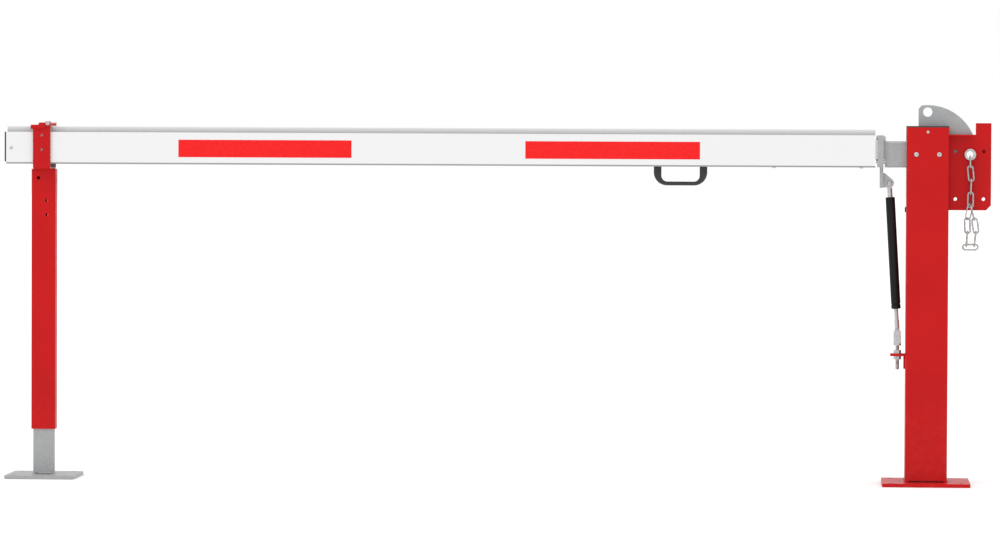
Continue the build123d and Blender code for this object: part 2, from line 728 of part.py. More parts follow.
def insert_screws():
    """Screws from under the boom into the insert."""
    length = INSERT_BOTTOM + INSERT_WALL - BOOM_BOTTOM + SCREW_PROUD
    screw = button_screw(INSERT_SCREW_D, length, 0)
    return [Pos(x, 0, at_pivot(BOOM_BOTTOM)) * screw for x in INSERT_SCREW_X]


def boom_profile():
    """The aluminium extrusion: three chambers under a raised rail."""
    x = (BOOM_END_X, BOOM_X)
    half = BOOM_FACE_Y
    rail = RAIL_DEPTH / 2
    border = outline(
        [
            (-half, at_pivot(BOOM_BOTTOM)),
            (half, at_pivot(BOOM_BOTTOM)),
            (half, at_pivot(BOOM_TOP)),
            (rail, at_pivot(BOOM_TOP)),
            (rail, at_pivot(RAIL_TOP)),
            (-rail, at_pivot(RAIL_TOP)),
            (-rail, at_pivot(BOOM_TOP)),
            (-half, at_pivot(BOOM_TOP)),
        ]
    )
    border = fillet(border.vertices().group_by(Axis.Y)[0], BOOM_BOTTOM_R)
    border = fillet(border.vertices().group_by(Axis.Y)[-1], BOOM_WALL)
    inner = half - BOOM_WALL
    web_low = INSERT_BOTTOM - PART_GAP
    web_high = INSERT_TOP + PART_GAP
    chambers = (
        (inner, BOOM_BOTTOM + BOOM_WALL, web_low - BOOM_WALL),
        (inner, web_low, web_high),
        (inner, web_high + BOOM_WALL, BOOM_TOP - BOOM_WALL),
        (rail - BOOM_WALL, BOOM_TOP, RAIL_TOP - BOOM_WALL),
    )
    beam = bar_x(border, x)
    for width, low, high in chambers:
        beam -= block(x, (-width, width), around_pivot((low, high)))
    for screw_x in INSERT_SCREW_X:
        z = around_pivot((BOOM_BOTTOM, web_low))
        beam -= rod_z(screw_x, 0, INSERT_SCREW_D + 2 * SEAT_GAP, z)
    for screw_x in handle_screw_places():
        z = around_pivot((BOOM_BOTTOM, BOOM_BOTTOM + BOOM_WALL))
        beam -= rod_z(screw_x, 0, HANDLE_SCREW_D + 2 * SEAT_GAP, z)
    end_x = BOOM_END_X + END_SCREW_INSET
    beam -= rod_y(end_x, end_screw_z(), END_SCREW_D + 2 * SEAT_GAP, (-half, half))
    return beam


def end_screw_z():
    """The height of the end cap's screws: mid-height of the boom's body."""
    return at_pivot((BOOM_TOP + BOOM_BOTTOM) / 2)


def boom_end_cap():
    """The end cap, with two skirts in the middle chamber that its screws enter."""
    z = around_pivot((BOOM_BOTTOM + END_CAP_LIFT, BOOM_TOP))
    plate = block((BOOM_END_X - END_CAP_THICK, BOOM_END_X), (-BOOM_FACE_Y, BOOM_FACE_Y), z)
    low_edges = plate.edges().filter_by(Axis.X).group_by(Axis.Z)[0]
    plate = fillet(low_edges, BOOM_BOTTOM_R)
    outer = BOOM_FACE_Y - BOOM_WALL - PART_GAP
    skirt_z = around_pivot((INSERT_BOTTOM + PART_GAP, INSERT_TOP - PART_GAP))
    skirt_x = (BOOM_END_X, BOOM_END_X + END_CAP_SKIRT)
    for low, high in ((-outer, -outer + END_CAP_SKIRT_THICK), (outer - END_CAP_SKIRT_THICK, outer)):
        plate += block(skirt_x, (low, high), skirt_z)
    hole = rod_y(
        BOOM_END_X + END_SCREW_INSET, end_screw_z(), END_SCREW_D + 2 * SEAT_GAP, (-outer, outer)
    )
    return plate - hole


def end_cap_screws():
    """One screw through each face of the boom into the end cap."""
    screw = button_screw(END_SCREW_D, BOOM_WALL + END_CAP_SKIRT_THICK, 0)
    x = BOOM_END_X + END_SCREW_INSET
    return both_sides(facing_front(screw, x, -BOOM_FACE_Y, end_screw_z()))


def reflective_tapes():
    """Two red reflective strips on each face."""
    z = around_pivot((TAPE_CENTRE_Z - TAPE_HEIGHT / 2, TAPE_CENTRE_Z + TAPE_HEIGHT / 2))
    pieces = []
    for start in TAPE_START_X:
        strip = block((start - TAPE_LENGTH, start), (-BOOM_FACE_Y - TAPE_THICK, -BOOM_FACE_Y), z)
        pieces += both_sides(strip)
    return pieces


def handle_screw_places():
    """The two screw places along X."""
    inset = HANDLE_LEG / 2
    return HANDLE_RIGHT_X - inset, HANDLE_RIGHT_X - HANDLE_WIDTH + inset


def handle():
    """The moulded lifting handle under the boom."""
    right = HANDLE_RIGHT_X
    left = right - HANDLE_WIDTH
    top = BOOM_BOTTOM
    low = top - HANDLE_DROP
    outer = outline([(left, top), (right, top), (right, low), (left, low)])
    outer = fillet(outer.vertices().group_by(Axis.Y)[0], HANDLE_OUTER_R)
    inner = outline(
        [
            (left + HANDLE_LEG, top),
            (right - HANDLE_LEG, top),
            (right - HANDLE_LEG, low + HANDLE_GRIP),
            (left + HANDLE_LEG, low + HANDLE_GRIP),
        ]
    )
    inner = fillet(inner.vertices().group_by(Axis.Y)[0], HANDLE_INNER_R)
    half = HANDLE_DEPTH / 2
    loop = plate_y(Pos(0, PIVOT_Z) * (outer - inner), (-half, half))
    rims = loop.edges().filter_by(lambda edge: abs(abs(edge.center().Y) - half) < 0.01)
    rims = [edge for edge in rims if abs(edge.center().Z - at_pivot(top)) > 0.01]
    loop = fillet(rims, HANDLE_EDGE_R)
    for x in handle_screw_places():
        hole_z = around_pivot((top - HANDLE_HOLE_DEPTH, top))
        loop -= rod_z(x, 0, HANDLE_SCREW_D + 2 * SEAT_GAP, hole_z)
    return loop


def handle_screws():
    """Pan screws from inside the boom's lower chamber down into the handle."""
    screw = button_screw(HANDLE_SCREW_D, BOOM_WALL + HANDLE_HOLE_DEPTH - SCREW_PROUD, 0)
    z = at_pivot(BOOM_BOTTOM + BOOM_WALL)
    return [Pos(x, 0, z) * Rot(180, 0, 0) * screw for x in handle_screw_places()]


# ---- gas strut ----------------------------------------------------------------------------------

STRUT_X = STRUT_TOP[0] - STRUT_FOOT[0]
STRUT_Z = STRUT_TOP[1] - STRUT_FOOT[1]
STRUT_CLOSED = hypot(STRUT_X, STRUT_Z)
STRUT_TILT = degrees(atan2(STRUT_X, STRUT_Z))
STRUT_OPEN = hypot(STRUT_TOP[1] - STRUT_FOOT[0], -STRUT_TOP[0] - STRUT_FOOT[1])
STRUT_STROKE = STRUT_OPEN - STRUT_CLOSED


def along_strut(shape):
    """Places a shape built on +Z from the foot pin, along the strut."""
    return Pos(STRUT_FOOT[0], 0, at_pivot(STRUT_FOOT[1])) * Rot(0, STRUT_TILT, 0) * shape


def eye(length):
    """A flat eye at Z = 0 with a tongue that widens into a round neck going up to length."""
    disc = rod_y(0, 0, EYE_D, (-EYE_THICK / 2, EYE_THICK / 2))
    half = NECK_D / 2
    tongue = block((-half, half), (-EYE_THICK / 2, EYE_THICK / 2), (0, EYE_TONGUE))
    return disc + tongue + rod_z(0, 0, NECK_D, (EYE_TONGUE, length))


def strut_rod():
    """The polished rod, with the lower eye and the piston on its upper end."""
    top = CYLINDER_LOW + STRUT_STROKE + ROD_SPARE
    rod = eye(NECK_LENGTH) + rod_z(0, 0, ROD_D, (NECK_LENGTH, top))
    rod -= rod_y(0, 0, EYE_BORE + 2 * RUNNING_GAP, (-EYE_THICK, EYE_THICK))
    piston = rod_z(
        0, 0, CYLINDER_D - 2 * CYLINDER_WALL - 2 * PART_GAP, (top - PISTON_LENGTH, top)
    )
    return along_strut(rod + piston)


def strut_cylinder():
    """The cylinder: a closed tube with a gland at its lower end."""
    body = rod_z(0, 0, CYLINDER_D, (CYLINDER_LOW, CYLINDER_HIGH))
    ends = body.edges().filter_by(GeomType.CIRCLE)
    body = fillet(ends, CYLINDER_EDGE_R)
    bore = CYLINDER_D - 2 * CYLINDER_WALL
    gland_top = CYLINDER_LOW + GLAND_LENGTH
    body -= rod_z(0, 0, bore, (gland_top, CYLINDER_HIGH - CYLINDER_END))
    return along_strut(body - rod_z(0, 0, ROD_D + 2 * RUNNING_GAP, (CYLINDER_LOW, gland_top)))


def strut_top_eye():
    """The upper end fitting: a neck out of the cylinder and a flat eye between the ears."""
    fitting = Rot(180, 0, 0) * eye(STRUT_CLOSED - CYLINDER_HIGH)
    fitting = Pos(0, 0, STRUT_CLOSED) * fitting
    return along_strut(fitting)


def strut_ears():
    """Two ears welded to the hanger's tail, each with a bolt hole."""
    y = (EYE_THICK / 2 + EYE_SIDE_GAP, EYE_THICK / 2 + EYE_SIDE_GAP + EAR_THICK)
    x, z = STRUT_TOP
    nose = EAR_NOSE
    slope = nose * sin(radians(45))
    face = outline(
        [
            (HANGER_X, EAR_TOP),
            (HANGER_X + EAR_TOP_FLAT, EAR_TOP),
            (x + slope, z + slope),
            (x, z - nose),
            (HANGER_X, z - nose),
        ]
    )
    face += Pos(x, z) * Circle(nose)
    ear = plate_y(Pos(0, PIVOT_Z) * face, y)
    ear -= rod_y(x, at_pivot(z), EYE_BORE + 2 * SEAT_GAP, y)
    return both_sides(ear)


def strut_top_bolt():
    """The two ends of the upper pivot bolt, seated in the ears: head in front, nut behind."""
    inner = EYE_THICK / 2 + EYE_SIDE_GAP
    outer = inner + EAR_THICK
    x, z = STRUT_TOP[0], at_pivot(STRUT_TOP[1])
    head = button_screw(EYE_BORE, EAR_THICK, 0)
    nut = extrude(RegularPolygon(TOP_NUT_ACROSS / 2, 6, major_radius=False), TOP_NUT_THICK)
    stub = rod_z(0, 0, EYE_BORE, (-EAR_THICK, 0))
    return [facing_front(head, x, -outer, z), facing_front(nut + stub, x, outer, z)]


def fork_head():
    """The clevis on the adjusting stud."""
    x, z = STRUT_FOOT
    half = FORK_SIDE / 2
    body = block((x - half, x + half), (-half, half), around_pivot((z + FORK_BOTTOM, z + FORK_TOP)))
    body = fillet(body.edges().filter_by(Axis.Y).group_by(Axis.Z)[-1], half * 0.9)
    slot = FORK_SLOT / 2
    body -= block(
        (x - half, x + half), (-slot, slot), around_pivot((z - FORK_SLOT_DEPTH, z + FORK_TOP))
    )
    body -= rod_y(x, at_pivot(z), EYE_BORE + 2 * SEAT_GAP, (-half, half))
    return body - rod_z(
        x,
        0,
        STUD_D + 2 * SEAT_GAP,
        around_pivot((z + FORK_BOTTOM, z - FORK_SLOT_DEPTH - STUD_SHORT)),
    )


def clevis_pin():
    """The headed pin across the clevis, with its retaining ring."""
    x, z = STRUT_FOOT[0], at_pivot(STRUT_FOOT[1])
    half = FORK_SIDE / 2
    pin = rod_y(x, z, EYE_BORE, (-half, half + CLEVIS_TAIL))
    pin += rod_y(x, z, CLEVIS_HEAD_D, (-half - CLEVIS_HEAD, -half))
    return pin + rod_y(x, z, RETAINER_D, (half + RETAINER_Y[0], half + RETAINER_Y[1]))


def adjusting_stud():
    """The threaded stud between the clevis and the bracket."""
    x, z = STRUT_FOOT
    top = z - FORK_SLOT_DEPTH - STUD_SHORT
    stud = rod_z(x, 0, STUD_D, around_pivot((STUD_BOTTOM, top)))
    return chamfer(stud.edges().filter_by(GeomType.CIRCLE), 0.8)


def stud_nuts():
    """A nut above and a nut below the bracket's ledge, and a lock nut under the clevis."""
    nut = hex_nut(NUT_ACROSS, STUD_NUT_THICK, STUD_D + 2 * SEAT_GAP)
    low = BRACKET_TOP - BRACKET_THICK
    heights = (BRACKET_TOP, low - STUD_NUT_THICK, STRUT_FOOT[1] + FORK_BOTTOM - LOCK_NUT_THICK)
    thin = hex_nut(NUT_ACROSS, LOCK_NUT_THICK, STUD_D + 2 * SEAT_GAP)
    nuts = (nut, nut, thin)
    return [Pos(STRUT_FOOT[0], 0, at_pivot(z)) * piece for z, piece in zip(heights, nuts)]


def strut_bracket():
    """The angle bracket on the post that carries the stud."""
    half = BRACKET_WIDTH / 2
    low = BRACKET_TOP - BRACKET_THICK
    ledge = block(
        (BRACKET_REACH_X, -HALF_POST), (-half, half), around_pivot((low, BRACKET_TOP))
    )
    ledge = fillet(ledge.edges().filter_by(Axis.Z).group_by(Axis.X)[0], BRACKET_CORNER_R)
    leg = block(
        (-HALF_POST - BRACKET_LEG_THICK, -HALF_POST),
        (-half, half),
        around_pivot((BRACKET_TOP - BRACKET_DROP, low)),
    )
    bracket = ledge + leg
    return bracket - rod_z(
        STRUT_FOOT[0], 0, STUD_D + 2 * SEAT_GAP, around_pivot((low, BRACKET_TOP))
    )


# ---- support leg --------------------------------------------------------------------------------


def leg_outer_tube():
    """The red outer tube of the leg, with its key hole, pin holes and clamp screw hole."""
    z = (LEG_BOTTOM_Z, LEG_TOP_Z)
    tube = bar_z(Pos(LEG_X, 0) * RectangleRounded(LEG_WIDTH, LEG_DEPTH, LEG_CORNER_R), z)
    tube -= bar_z(
        Pos(LEG_X, 0)
        * RectangleRounded(LEG_WIDTH - 2 * LEG_WALL, LEG_DEPTH - 2 * LEG_WALL, LEG_BORE_R),
        z,
    )
    half = LEG_DEPTH / 2
    tube -= rod_y(LEG_X + LEG_KEY_PLACE[0], LEG_KEY_PLACE[1], LEG_KEY_HOLE, (-half, 0))
    for pin_z in LEG_PIN_Z:
        tube -= rod_y(LEG_X + LEG_PIN_X, pin_z, LEG_PIN_HOLE, (-half, half))
    side = LEG_X + LEG_WIDTH / 2
    tube -= rod_x(0, PIVOT_Z - LEG_SIDE_HOLE_DROP, LEG_SIDE_HOLE, (side - LEG_WALL, side))
    return tube - rod_y(LEG_X, CLAMP_SCREW_Z, CLAMP_SCREW_D + 2 * SEAT_GAP, (0, half))


def clamp_screw():
    """The thumb screw at the back that clamps the inner tube at its height."""
    half = LEG_DEPTH / 2
    inner = half - LEG_WALL
    shank = rod_y(LEG_X, CLAMP_SCREW_Z, CLAMP_SCREW_D, (inner, half + CLAMP_REACH))
    knob = rod_y(LEG_X, CLAMP_SCREW_Z, KNOB_D, (half + KNOB_GAP, half + CLAMP_REACH))
    return shank + knob


def leg_inner_section():
    """The sliding inner tube's width and depth."""
    width = LEG_WIDTH - 2 * LEG_WALL - 2 * LEG_SLIDE_GAP
    depth = LEG_DEPTH - 2 * LEG_WALL - 2 * LEG_SLIDE_GAP
    return width, depth


def leg_inner_tube():
    """The galvanised inner tube standing on the foot plate."""
    width, depth = leg_inner_section()
    z = (FOOT_THICK, LEG_INNER_TOP_Z)
    tube = bar_z(Pos(LEG_X, 0) * RectangleRounded(width, depth, LEG_INNER_CORNER_R), z)
    tube -= bar_z(
        Pos(LEG_X, 0)
        * RectangleRounded(
            width - 2 * LEG_INNER_WALL,
            depth - 2 * LEG_INNER_WALL,
            LEG_INNER_CORNER_R - LEG_INNER_WALL,
        ),
        z,
    )
    half_vent = width / 2 - VENT_INSET
    return tube - block(
        (LEG_X - half_vent, LEG_X + half_vent),
        (-depth, depth),
        (FOOT_THICK, FOOT_THICK + VENT_HEIGHT),
    )


def foot_plate():
    """The square foot with four anchor holes."""
    section = Pos(LEG_X, 0) * RectangleRounded(FOOT_SIDE, FOOT_SIDE, FOOT_CORNER_R)
    plate = bar_z(section, (0, FOOT_THICK))
    for hole in corner_holes(FOOT_BOLT_SPACING, FOOT_BOLT_HOLE, (0, FOOT_THICK)):
        plate -= Pos(LEG_X, 0, 0) * hole
    return plate


def fork_strap():
    """The U-shaped fork that the boom drops into, with the latch's ear on its front arm."""
    web_top = LEG_TOP_Z + FORK_THICK
    outer = outline(
        [
            (-FORK_OUTER_Y, STRAP_TOP_Z),
            (-FORK_OUTER_Y, LEG_TOP_Z),
            (FORK_OUTER_Y, LEG_TOP_Z),
            (FORK_OUTER_Y, STRAP_TOP_Z),
        ]
    )
    outer = fillet(outer.vertices().group_by(Axis.Y)[0], FORK_BEND_R)
    inner = outline(
        [
            (-FORK_INNER_Y, STRAP_TOP_Z),
            (-FORK_INNER_Y, web_top),
            (FORK_INNER_Y, web_top),
            (FORK_INNER_Y, STRAP_TOP_Z),
        ]
    )
    inner = fillet(inner.vertices().group_by(Axis.Y)[0], FORK_BEND_R - FORK_THICK)
    half = FORK_WIDTH / 2
    strap = bar_x(outer - inner, (LEG_X - half, LEG_X + half))
    ear = block(
        (LEG_X + EAR_X[0], LEG_X + EAR_X[1]),
        (-FORK_OUTER_Y, -FORK_INNER_Y),
        (STRAP_TOP_Z, EAR_TOP_Z),
    )
    ear = fillet(ear.edges().filter_by(Axis.Y).group_by(Axis.Z)[-1], EAR_CORNER_R)
    strap += ear
    for z in STRAP_HOLE_Z:
        strap -= rod_y(LEG_X, z, STRAP_HOLE_D, (-FORK_OUTER_Y, -FORK_INNER_Y))
    return strap - rod_y(latch_x(), LATCH_PIN_Z, latch_bore(), (-FORK_OUTER_Y, 0))


def latch_x():
    """The latch pin's place along X: the middle of the ear."""
    return LEG_X + (EAR_X[0] + EAR_X[1]) / 2


def latch_bore():
    """The latch pin's hole."""
    return LATCH_PIN_D + 2 * PART_GAP


def rest_pad():
    """The rubber pad in the fork's bottom that the boom rests on."""
    half = FORK_WIDTH / 2
    low = LEG_TOP_Z + FORK_THICK
    high = at_pivot(BOOM_BOTTOM) - PART_GAP
    inner = FORK_INNER_Y - (FORK_BEND_R - FORK_THICK) - PAD_INSET
    pad = block((LEG_X - half, LEG_X + half), (-inner, inner), (low, high))
    return fillet(pad.edges().filter_by(Axis.Y), PAD_EDGE_R)


def hinge_lugs():
    """The two outer knuckles welded to the back of the rear arm."""
    pieces = []
    half = FORK_WIDTH / 2
    for low, high in ((-half, -KNUCKLE_HALF), (KNUCKLE_HALF, half)):
        x = (LEG_X + low, LEG_X + high)
        knuckle = rod_x(HINGE_Y, HINGE_Z, KNUCKLE_D, x)
        foot = block(x, (FORK_OUTER_Y, HINGE_Y), (STRAP_TOP_Z - LUG_FOOT, HINGE_Z))
        lug = knuckle + foot
        pieces.append(lug - rod_x(HINGE_Y, HINGE_Z, HINGE_PIN_D + 2 * SEAT_GAP, x))
    return pieces


def hinge_pin():
    """The pin through the three knuckles."""
    left = LEG_X - FORK_WIDTH / 2 - PART_GAP
    pin = rod_x(HINGE_Y, HINGE_Z, HINGE_PIN_D, (left, LEG_X + FORK_WIDTH / 2))
    head_d = HINGE_PIN_D + 2 * HINGE_HEAD_RIM
    return pin + rod_x(HINGE_Y, HINGE_Z, head_d, (left - HINGE_HEAD, left))


def latch_flap():
    """The closing flap over the fork: a plate with a front lip, a pin tab and its middle knuckle."""
    left = LEG_X + FLAP_LEFT
    z = (FLAP_Z, FLAP_Z + FLAP_THICK)
    notch = LEG_X + EAR_X[0] - PART_GAP - FLAP_NOTCH
    front = -FORK_OUTER_Y - PART_GAP
    plate = block((left, LEG_X + EAR_X[1]), (-FLAP_TAB_Y, FORK_OUTER_Y - FLAP_BACK_INSET), z)
    plate += block((left, notch), (front - FLAP_THICK, -FLAP_TAB_Y), z)
    plate += block((left, notch), (front - FLAP_THICK, front), (z[0] - FLAP_LIP_DROP, z[0]))
    bend = [
        edge
        for edge in plate.edges().filter_by(Axis.X)
        if abs(edge.center().Y - front + FLAP_THICK) < 0.01 and abs(edge.center().Z - z[1]) < 0.01
    ]
    plate = fillet(bend, FLAP_THICK * 0.8)
    tab = block(
        (LEG_X + EAR_X[0], LEG_X + EAR_X[1]),
        (-FLAP_TAB_Y, -FLAP_TAB_Y + FLAP_TAB_THICK),
        (z[1], EAR_TOP_Z),
    )
    tab = fillet(tab.edges().filter_by(Axis.Y).group_by(Axis.Z)[-1], EAR_CORNER_R)
    tab -= rod_y(latch_x(), LATCH_PIN_Z, latch_bore(), (-FORK_OUTER_Y, 0))
    knuckle_x = (LEG_X - KNUCKLE_HALF + PART_GAP, LEG_X + KNUCKLE_HALF - PART_GAP)
    arm = block(knuckle_x, (FORK_OUTER_Y - FLAP_BACK_INSET, HINGE_Y), z)
    knuckle = rod_x(HINGE_Y, HINGE_Z, KNUCKLE_D, knuckle_x)
    flap = plate + tab + arm + knuckle
    return flap - rod_x(HINGE_Y, HINGE_Z, HINGE_PIN_D + 2 * RUNNING_GAP, knuckle_x)


def latch_pin():
    """The headed pin through the ear and the flap's tab, cross-drilled for its clip."""
    x = latch_x()
    seat = -FORK_OUTER_Y - PART_GAP
    pin = rod_y(x, LATCH_PIN_Z, LATCH_PIN_D, (seat, CLIP_Y + LATCH_TAIL))
    head = rod_y(x, LATCH_PIN_Z, LATCH_HEAD_D, (seat - LATCH_HEAD, seat))
    head = fillet(head.edges().sort_by(Axis.Y)[0], LATCH_HEAD_R)
    hole_d = CLIP_WIRE + 2 * CLIP_HOLE_ROOM
    hole = rod_x(CLIP_Y, LATCH_PIN_Z, hole_d, (x - LATCH_PIN_D, x + LATCH_PIN_D))
    return pin + head - hole


def spring_clip():
    """The wire clip: a straight leg through the pin, a half loop, and a leg that returns beside it."""
    x = latch_x()
    bend_x = x + CLIP_REACH
    bend_r = CLIP_SPREAD / 2
    leg = rod_x(CLIP_Y, LATCH_PIN_Z, CLIP_WIRE, (x - LATCH_PIN_D, bend_x))
    back = rod_x(CLIP_Y + CLIP_SPREAD, LATCH_PIN_Z, CLIP_WIRE, (x + LATCH_PIN_D, bend_x))
    loop = Pos(bend_x, CLIP_Y + bend_r, LATCH_PIN_Z) * Torus(bend_r, CLIP_WIRE / 2)
    loop &= block(
        (bend_x, bend_x + CLIP_SPREAD),
        (CLIP_Y - CLIP_SPREAD, CLIP_Y + 2 * CLIP_SPREAD),
        (LATCH_PIN_Z - CLIP_WIRE, LATCH_PIN_Z + CLIP_WIRE),
    )
    return leg + loop + back


# ---- chain --------------------------------------------------------------------------------------


def link(length, width, wire):
    """A closed link in the XZ plane, its long way along Z."""
    half = (length - width) / 2
    bend = (width - wire) / 2
    ring = Pos(0, 0, half) * Rot(90, 0, 0) * Torus(bend, wire / 2)
    upper = ring & Pos(0, 0, half + width) * Box(2 * width, 2 * width, 2 * width)
    lower = Pos(0, 0, -half) * Rot(90, 0, 0) * Torus(bend, wire / 2)
    lower &= Pos(0, 0, -half - width) * Box(2 * width, 2 * width, 2 * width)
    sides = [rod_z(x, 0, wire, (-half, half)) for x in (-bend, bend)]
    return upper + lower + sides[0] + sides[1]


def placed_link(shape, centre, angle, edge_on, twist=0.0):
    """A link with its long way at angle from straight down, in the plane of the chain."""
    turn = Rot(0, 0, 90 if edge_on else twist)
    return Pos(centre[0], CHAIN_Y, at_pivot(centre[1])) * Rot(0, -angle, 0) * turn * shape


def chain_centres(start, angles, first_edge_on):
    """The centres of links that hang one in the next, each at its own angle from straight down."""
    apex = LINK_LENGTH / 2 - CHAIN_WIRE / 2
    bend_centre = (LINK_LENGTH - LINK_WIDTH) / 2
    slack = LINK_WIDTH / 2 - CHAIN_WIRE - CHAIN_WIRE / 2 - PART_GAP
    centre = start
    centres = [start]
    edge_on = first_edge_on
    for here, there in zip(angles, angles[1:]):
        reach_here = apex if edge_on else bend_centre
        reach_there = bend_centre if edge_on else apex
        middle = (here + there) / 2
        steps = ((here, reach_here), (middle, slack), (there, reach_there))
        x = centre[0] + sum(length * sin(radians(angle)) for angle, length in steps)
        z = centre[1] - sum(length * cos(radians(angle)) for angle, length in steps)
        centre = (x, z)
        centres.append(centre)
        edge_on = not edge_on
    return centres


UPPER_ANGLES = (0.0, 6.0, -2.0, -1.0)
RIGHT_STRAND_ANGLES = (-1.0, 16.0, 8.0, -6.0)
LEFT_STRAND_ANGLES = (-184.0, -178.0)


def first_link_centre():
    """The first link hangs on the rim of the chained lock bush, between its front and its slot."""
    inner_r = LINK_WIDTH / 2 - CHAIN_WIRE
    rim_corner = CHAIN_SLOT_Y - CHAIN_SLOT_WIDTH / 2
    lift = inner_r - sqrt(inner_r**2 - rim_corner**2) + FIRST_LINK_GAP
    top = -LOCK_BUSH_BORE / 2 + lift + CHAIN_WIRE
    return LOCK_HOLE_RADIUS, top - FIRST_LINK_LENGTH / 2


def upper_centres():
    """The centres of the links that hang straight down, the first counted as a long one."""
    x, z = first_link_centre()
    return chain_centres((x, z + (LINK_LENGTH - FIRST_LINK_LENGTH) / 2), UPPER_ANGLES, True)


def chain_upper():
    """The short link on the lock bush and the three links below it."""
    first = link(FIRST_LINK_LENGTH, LINK_WIDTH, CHAIN_WIRE)
    shape = link(LINK_LENGTH, LINK_WIDTH, CHAIN_WIRE)
    pieces = [placed_link(first, first_link_centre(), UPPER_ANGLES[0], True)]
    for i, (centre, angle) in enumerate(zip(upper_centres(), UPPER_ANGLES)):
        if i:
            pieces.append(placed_link(shape, centre, angle, i % 2 == 0))
    return pieces


def loop_places():
    """The centre, angle and edge-on state of each link of the loop below the straight links."""
    right = chain_centres(upper_centres()[-1], RIGHT_STRAND_ANGLES, False)[1:]
    places = [(c, a, i % 2 == 0) for i, (c, a) in enumerate(zip(right, RIGHT_STRAND_ANGLES[1:]))]
    apex = LINK_LENGTH / 2 - CHAIN_WIRE / 2
    last_x, last_z = right[-1]
    turn = radians(RIGHT_STRAND_ANGLES[-1])
    low_x = last_x + apex * sin(turn)
    low_z = last_z - apex * cos(turn)
    hang = LINK_WIDTH / 2 - CHAIN_WIRE - CHAIN_WIRE / 2 - PART_GAP
    places.append(((low_x - LOOP_WIDTH / 2, low_z - hang), -90.0, False))
    turn = radians(LEFT_STRAND_ANGLES[0])
    start = (low_x - LOOP_WIDTH + apex * sin(turn), low_z - apex * cos(turn))
    left = chain_centres(start, LEFT_STRAND_ANGLES, True)
    places += [(c, a, i % 2 == 0) for i, (c, a) in enumerate(zip(left, LEFT_STRAND_ANGLES))]
    return places


def chain_loop():
    """The links that go down, across and back up to the shackle."""
    shape = link(LINK_LENGTH, LINK_WIDTH, CHAIN_WIRE)
    return [placed_link(shape, centre, angle, edge_on) for centre, angle, edge_on in loop_places()]


def chain_shackle():
    """The thinner closed link that ties the loop's end back to the lowest straight link."""
    inset = LINK_WIDTH / 2 - CHAIN_WIRE - SHACKLE_WIRE / 2
    upper_x, upper_z = upper_centres()[-1]
    lower_x, lower_z = loop_places()[-1][0]
    reach = (LINK_LENGTH - LINK_WIDTH) / 2
    hang = LINK_WIDTH / 2 - CHAIN_WIRE - CHAIN_WIRE / 2 - PART_GAP
    over = (CHAIN_WIRE + SHACKLE_WIRE) / 2 + 2 * PART_GAP
    top = (upper_x, upper_z - reach - hang + over)
    bottom = (lower_x, lower_z + reach + inset - PART_GAP)
    run = hypot(top[0] - bottom[0], top[1] - bottom[1])
    lean = degrees(atan2(bottom[0] - top[0], top[1] - bottom[1]))
    shape = link(run + SHACKLE_WIRE, SHACKLE_WIDTH, SHACKLE_WIRE)
    centre = ((top[0] + bottom[0]) / 2, (top[1] + bottom[1]) / 2)
    return Pos(0, -SHACKLE_FORWARD, 0) * placed_link(shape, centre, lean, False, SHACKLE_TURN)


# ---- pieces and files ---------------------------------------------------------------------------


def mirrored(shape):
    """The shape's mirror image across the XZ plane."""
    return mirror(shape, about=Plane.XZ)


def all_pieces():
    """Every node's name with its solid, or with its list of separate solids."""
    return {
        "base_plate": base_plate(),
        "post_tube": post_tube(),
        "post_cap_front": post_cap(),
        "post_cap_rear": mirrored(post_cap()),
        "cap_screws": cap_screws(),
        "bearing_front": bearing_housing(),
        "bearing_rear": mirrored(bearing_housing()),
        "bush_front": bearing_bush(),
        "bush_rear": mirrored(bearing_bush()),
        "bearing_bolts": bearing_bolts(),
        "side_plug": side_plug(),
        "lock_guard_front": guard_plate(GUARD_HOLE_Z),
        "lock_guard_rear": mirrored(guard_plate(GUARD_HOLE_Z[1:])),
        "lock_bush_front": lock_bush(True),
        "lock_bush_rear": mirrored(lock_bush(False)),
        "pivot_shaft": pivot_shaft(),
        "shaft_collar_front": shaft_collar(),
        "shaft_collar_rear": mirrored(shaft_collar()),
        "arm_tube": arm_tube(),
        "lock_quadrant": quadrant(),
        "spacer_plate": spacer_plate(),
        "hanger_plate": hanger_plate(),
        "boom_flange": boom_flange(),
        "flange_bolts": flange_bolts(),
        "boom_insert": boom_insert(),
        "insert_screws": insert_screws(),
        "boom_profile": boom_profile(),
        "boom_end_cap": boom_end_cap(),
        "end_cap_screws": end_cap_screws(),
        "reflective_tapes": reflective_tapes(),
        "lift_handle": handle(),
        "handle_screws": handle_screws(),
        "strut_ears": strut_ears(),
        "strut_top_bolt": strut_top_bolt(),
        "strut_top_eye": strut_top_eye(),
        "strut_cylinder": strut_cylinder(),
        "strut_rod": strut_rod(),
        "strut_fork_head": fork_head(),
        "strut_clevis_pin": clevis_pin(),
        "adjusting_stud": adjusting_stud(),
        "stud_nuts": stud_nuts(),
        "strut_bracket": strut_bracket(),
        "leg_outer_tube": leg_outer_tube(),
        "leg_clamp_screw": clamp_screw(),
        "leg_inner_tube": leg_inner_tube(),
        "foot_plate": foot_plate(),
        "fork_strap": fork_strap(),
        "rest_pad": rest_pad(),
        "flap_hinge_lugs": hinge_lugs(),
        "flap_hinge_pin": hinge_pin(),
        "latch_flap": latch_flap(),
        "latch_pin": latch_pin(),
        "spring_clip": spring_clip(),
        "chain_upper_links": chain_upper(),
        "chain_loop_links": chain_loop(),
        "chain_shackle": chain_shackle(),
    }


os.makedirs("parts", exist_ok=True)
for name, shape in all_pieces().items():
    if isinstance(shape, list):
        shape = Compound(children=shape)
    export_step(shape, f"parts/{name}.step")
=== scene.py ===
"""Lift-up boom barrier: fine pieces, finishes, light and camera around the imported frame."""

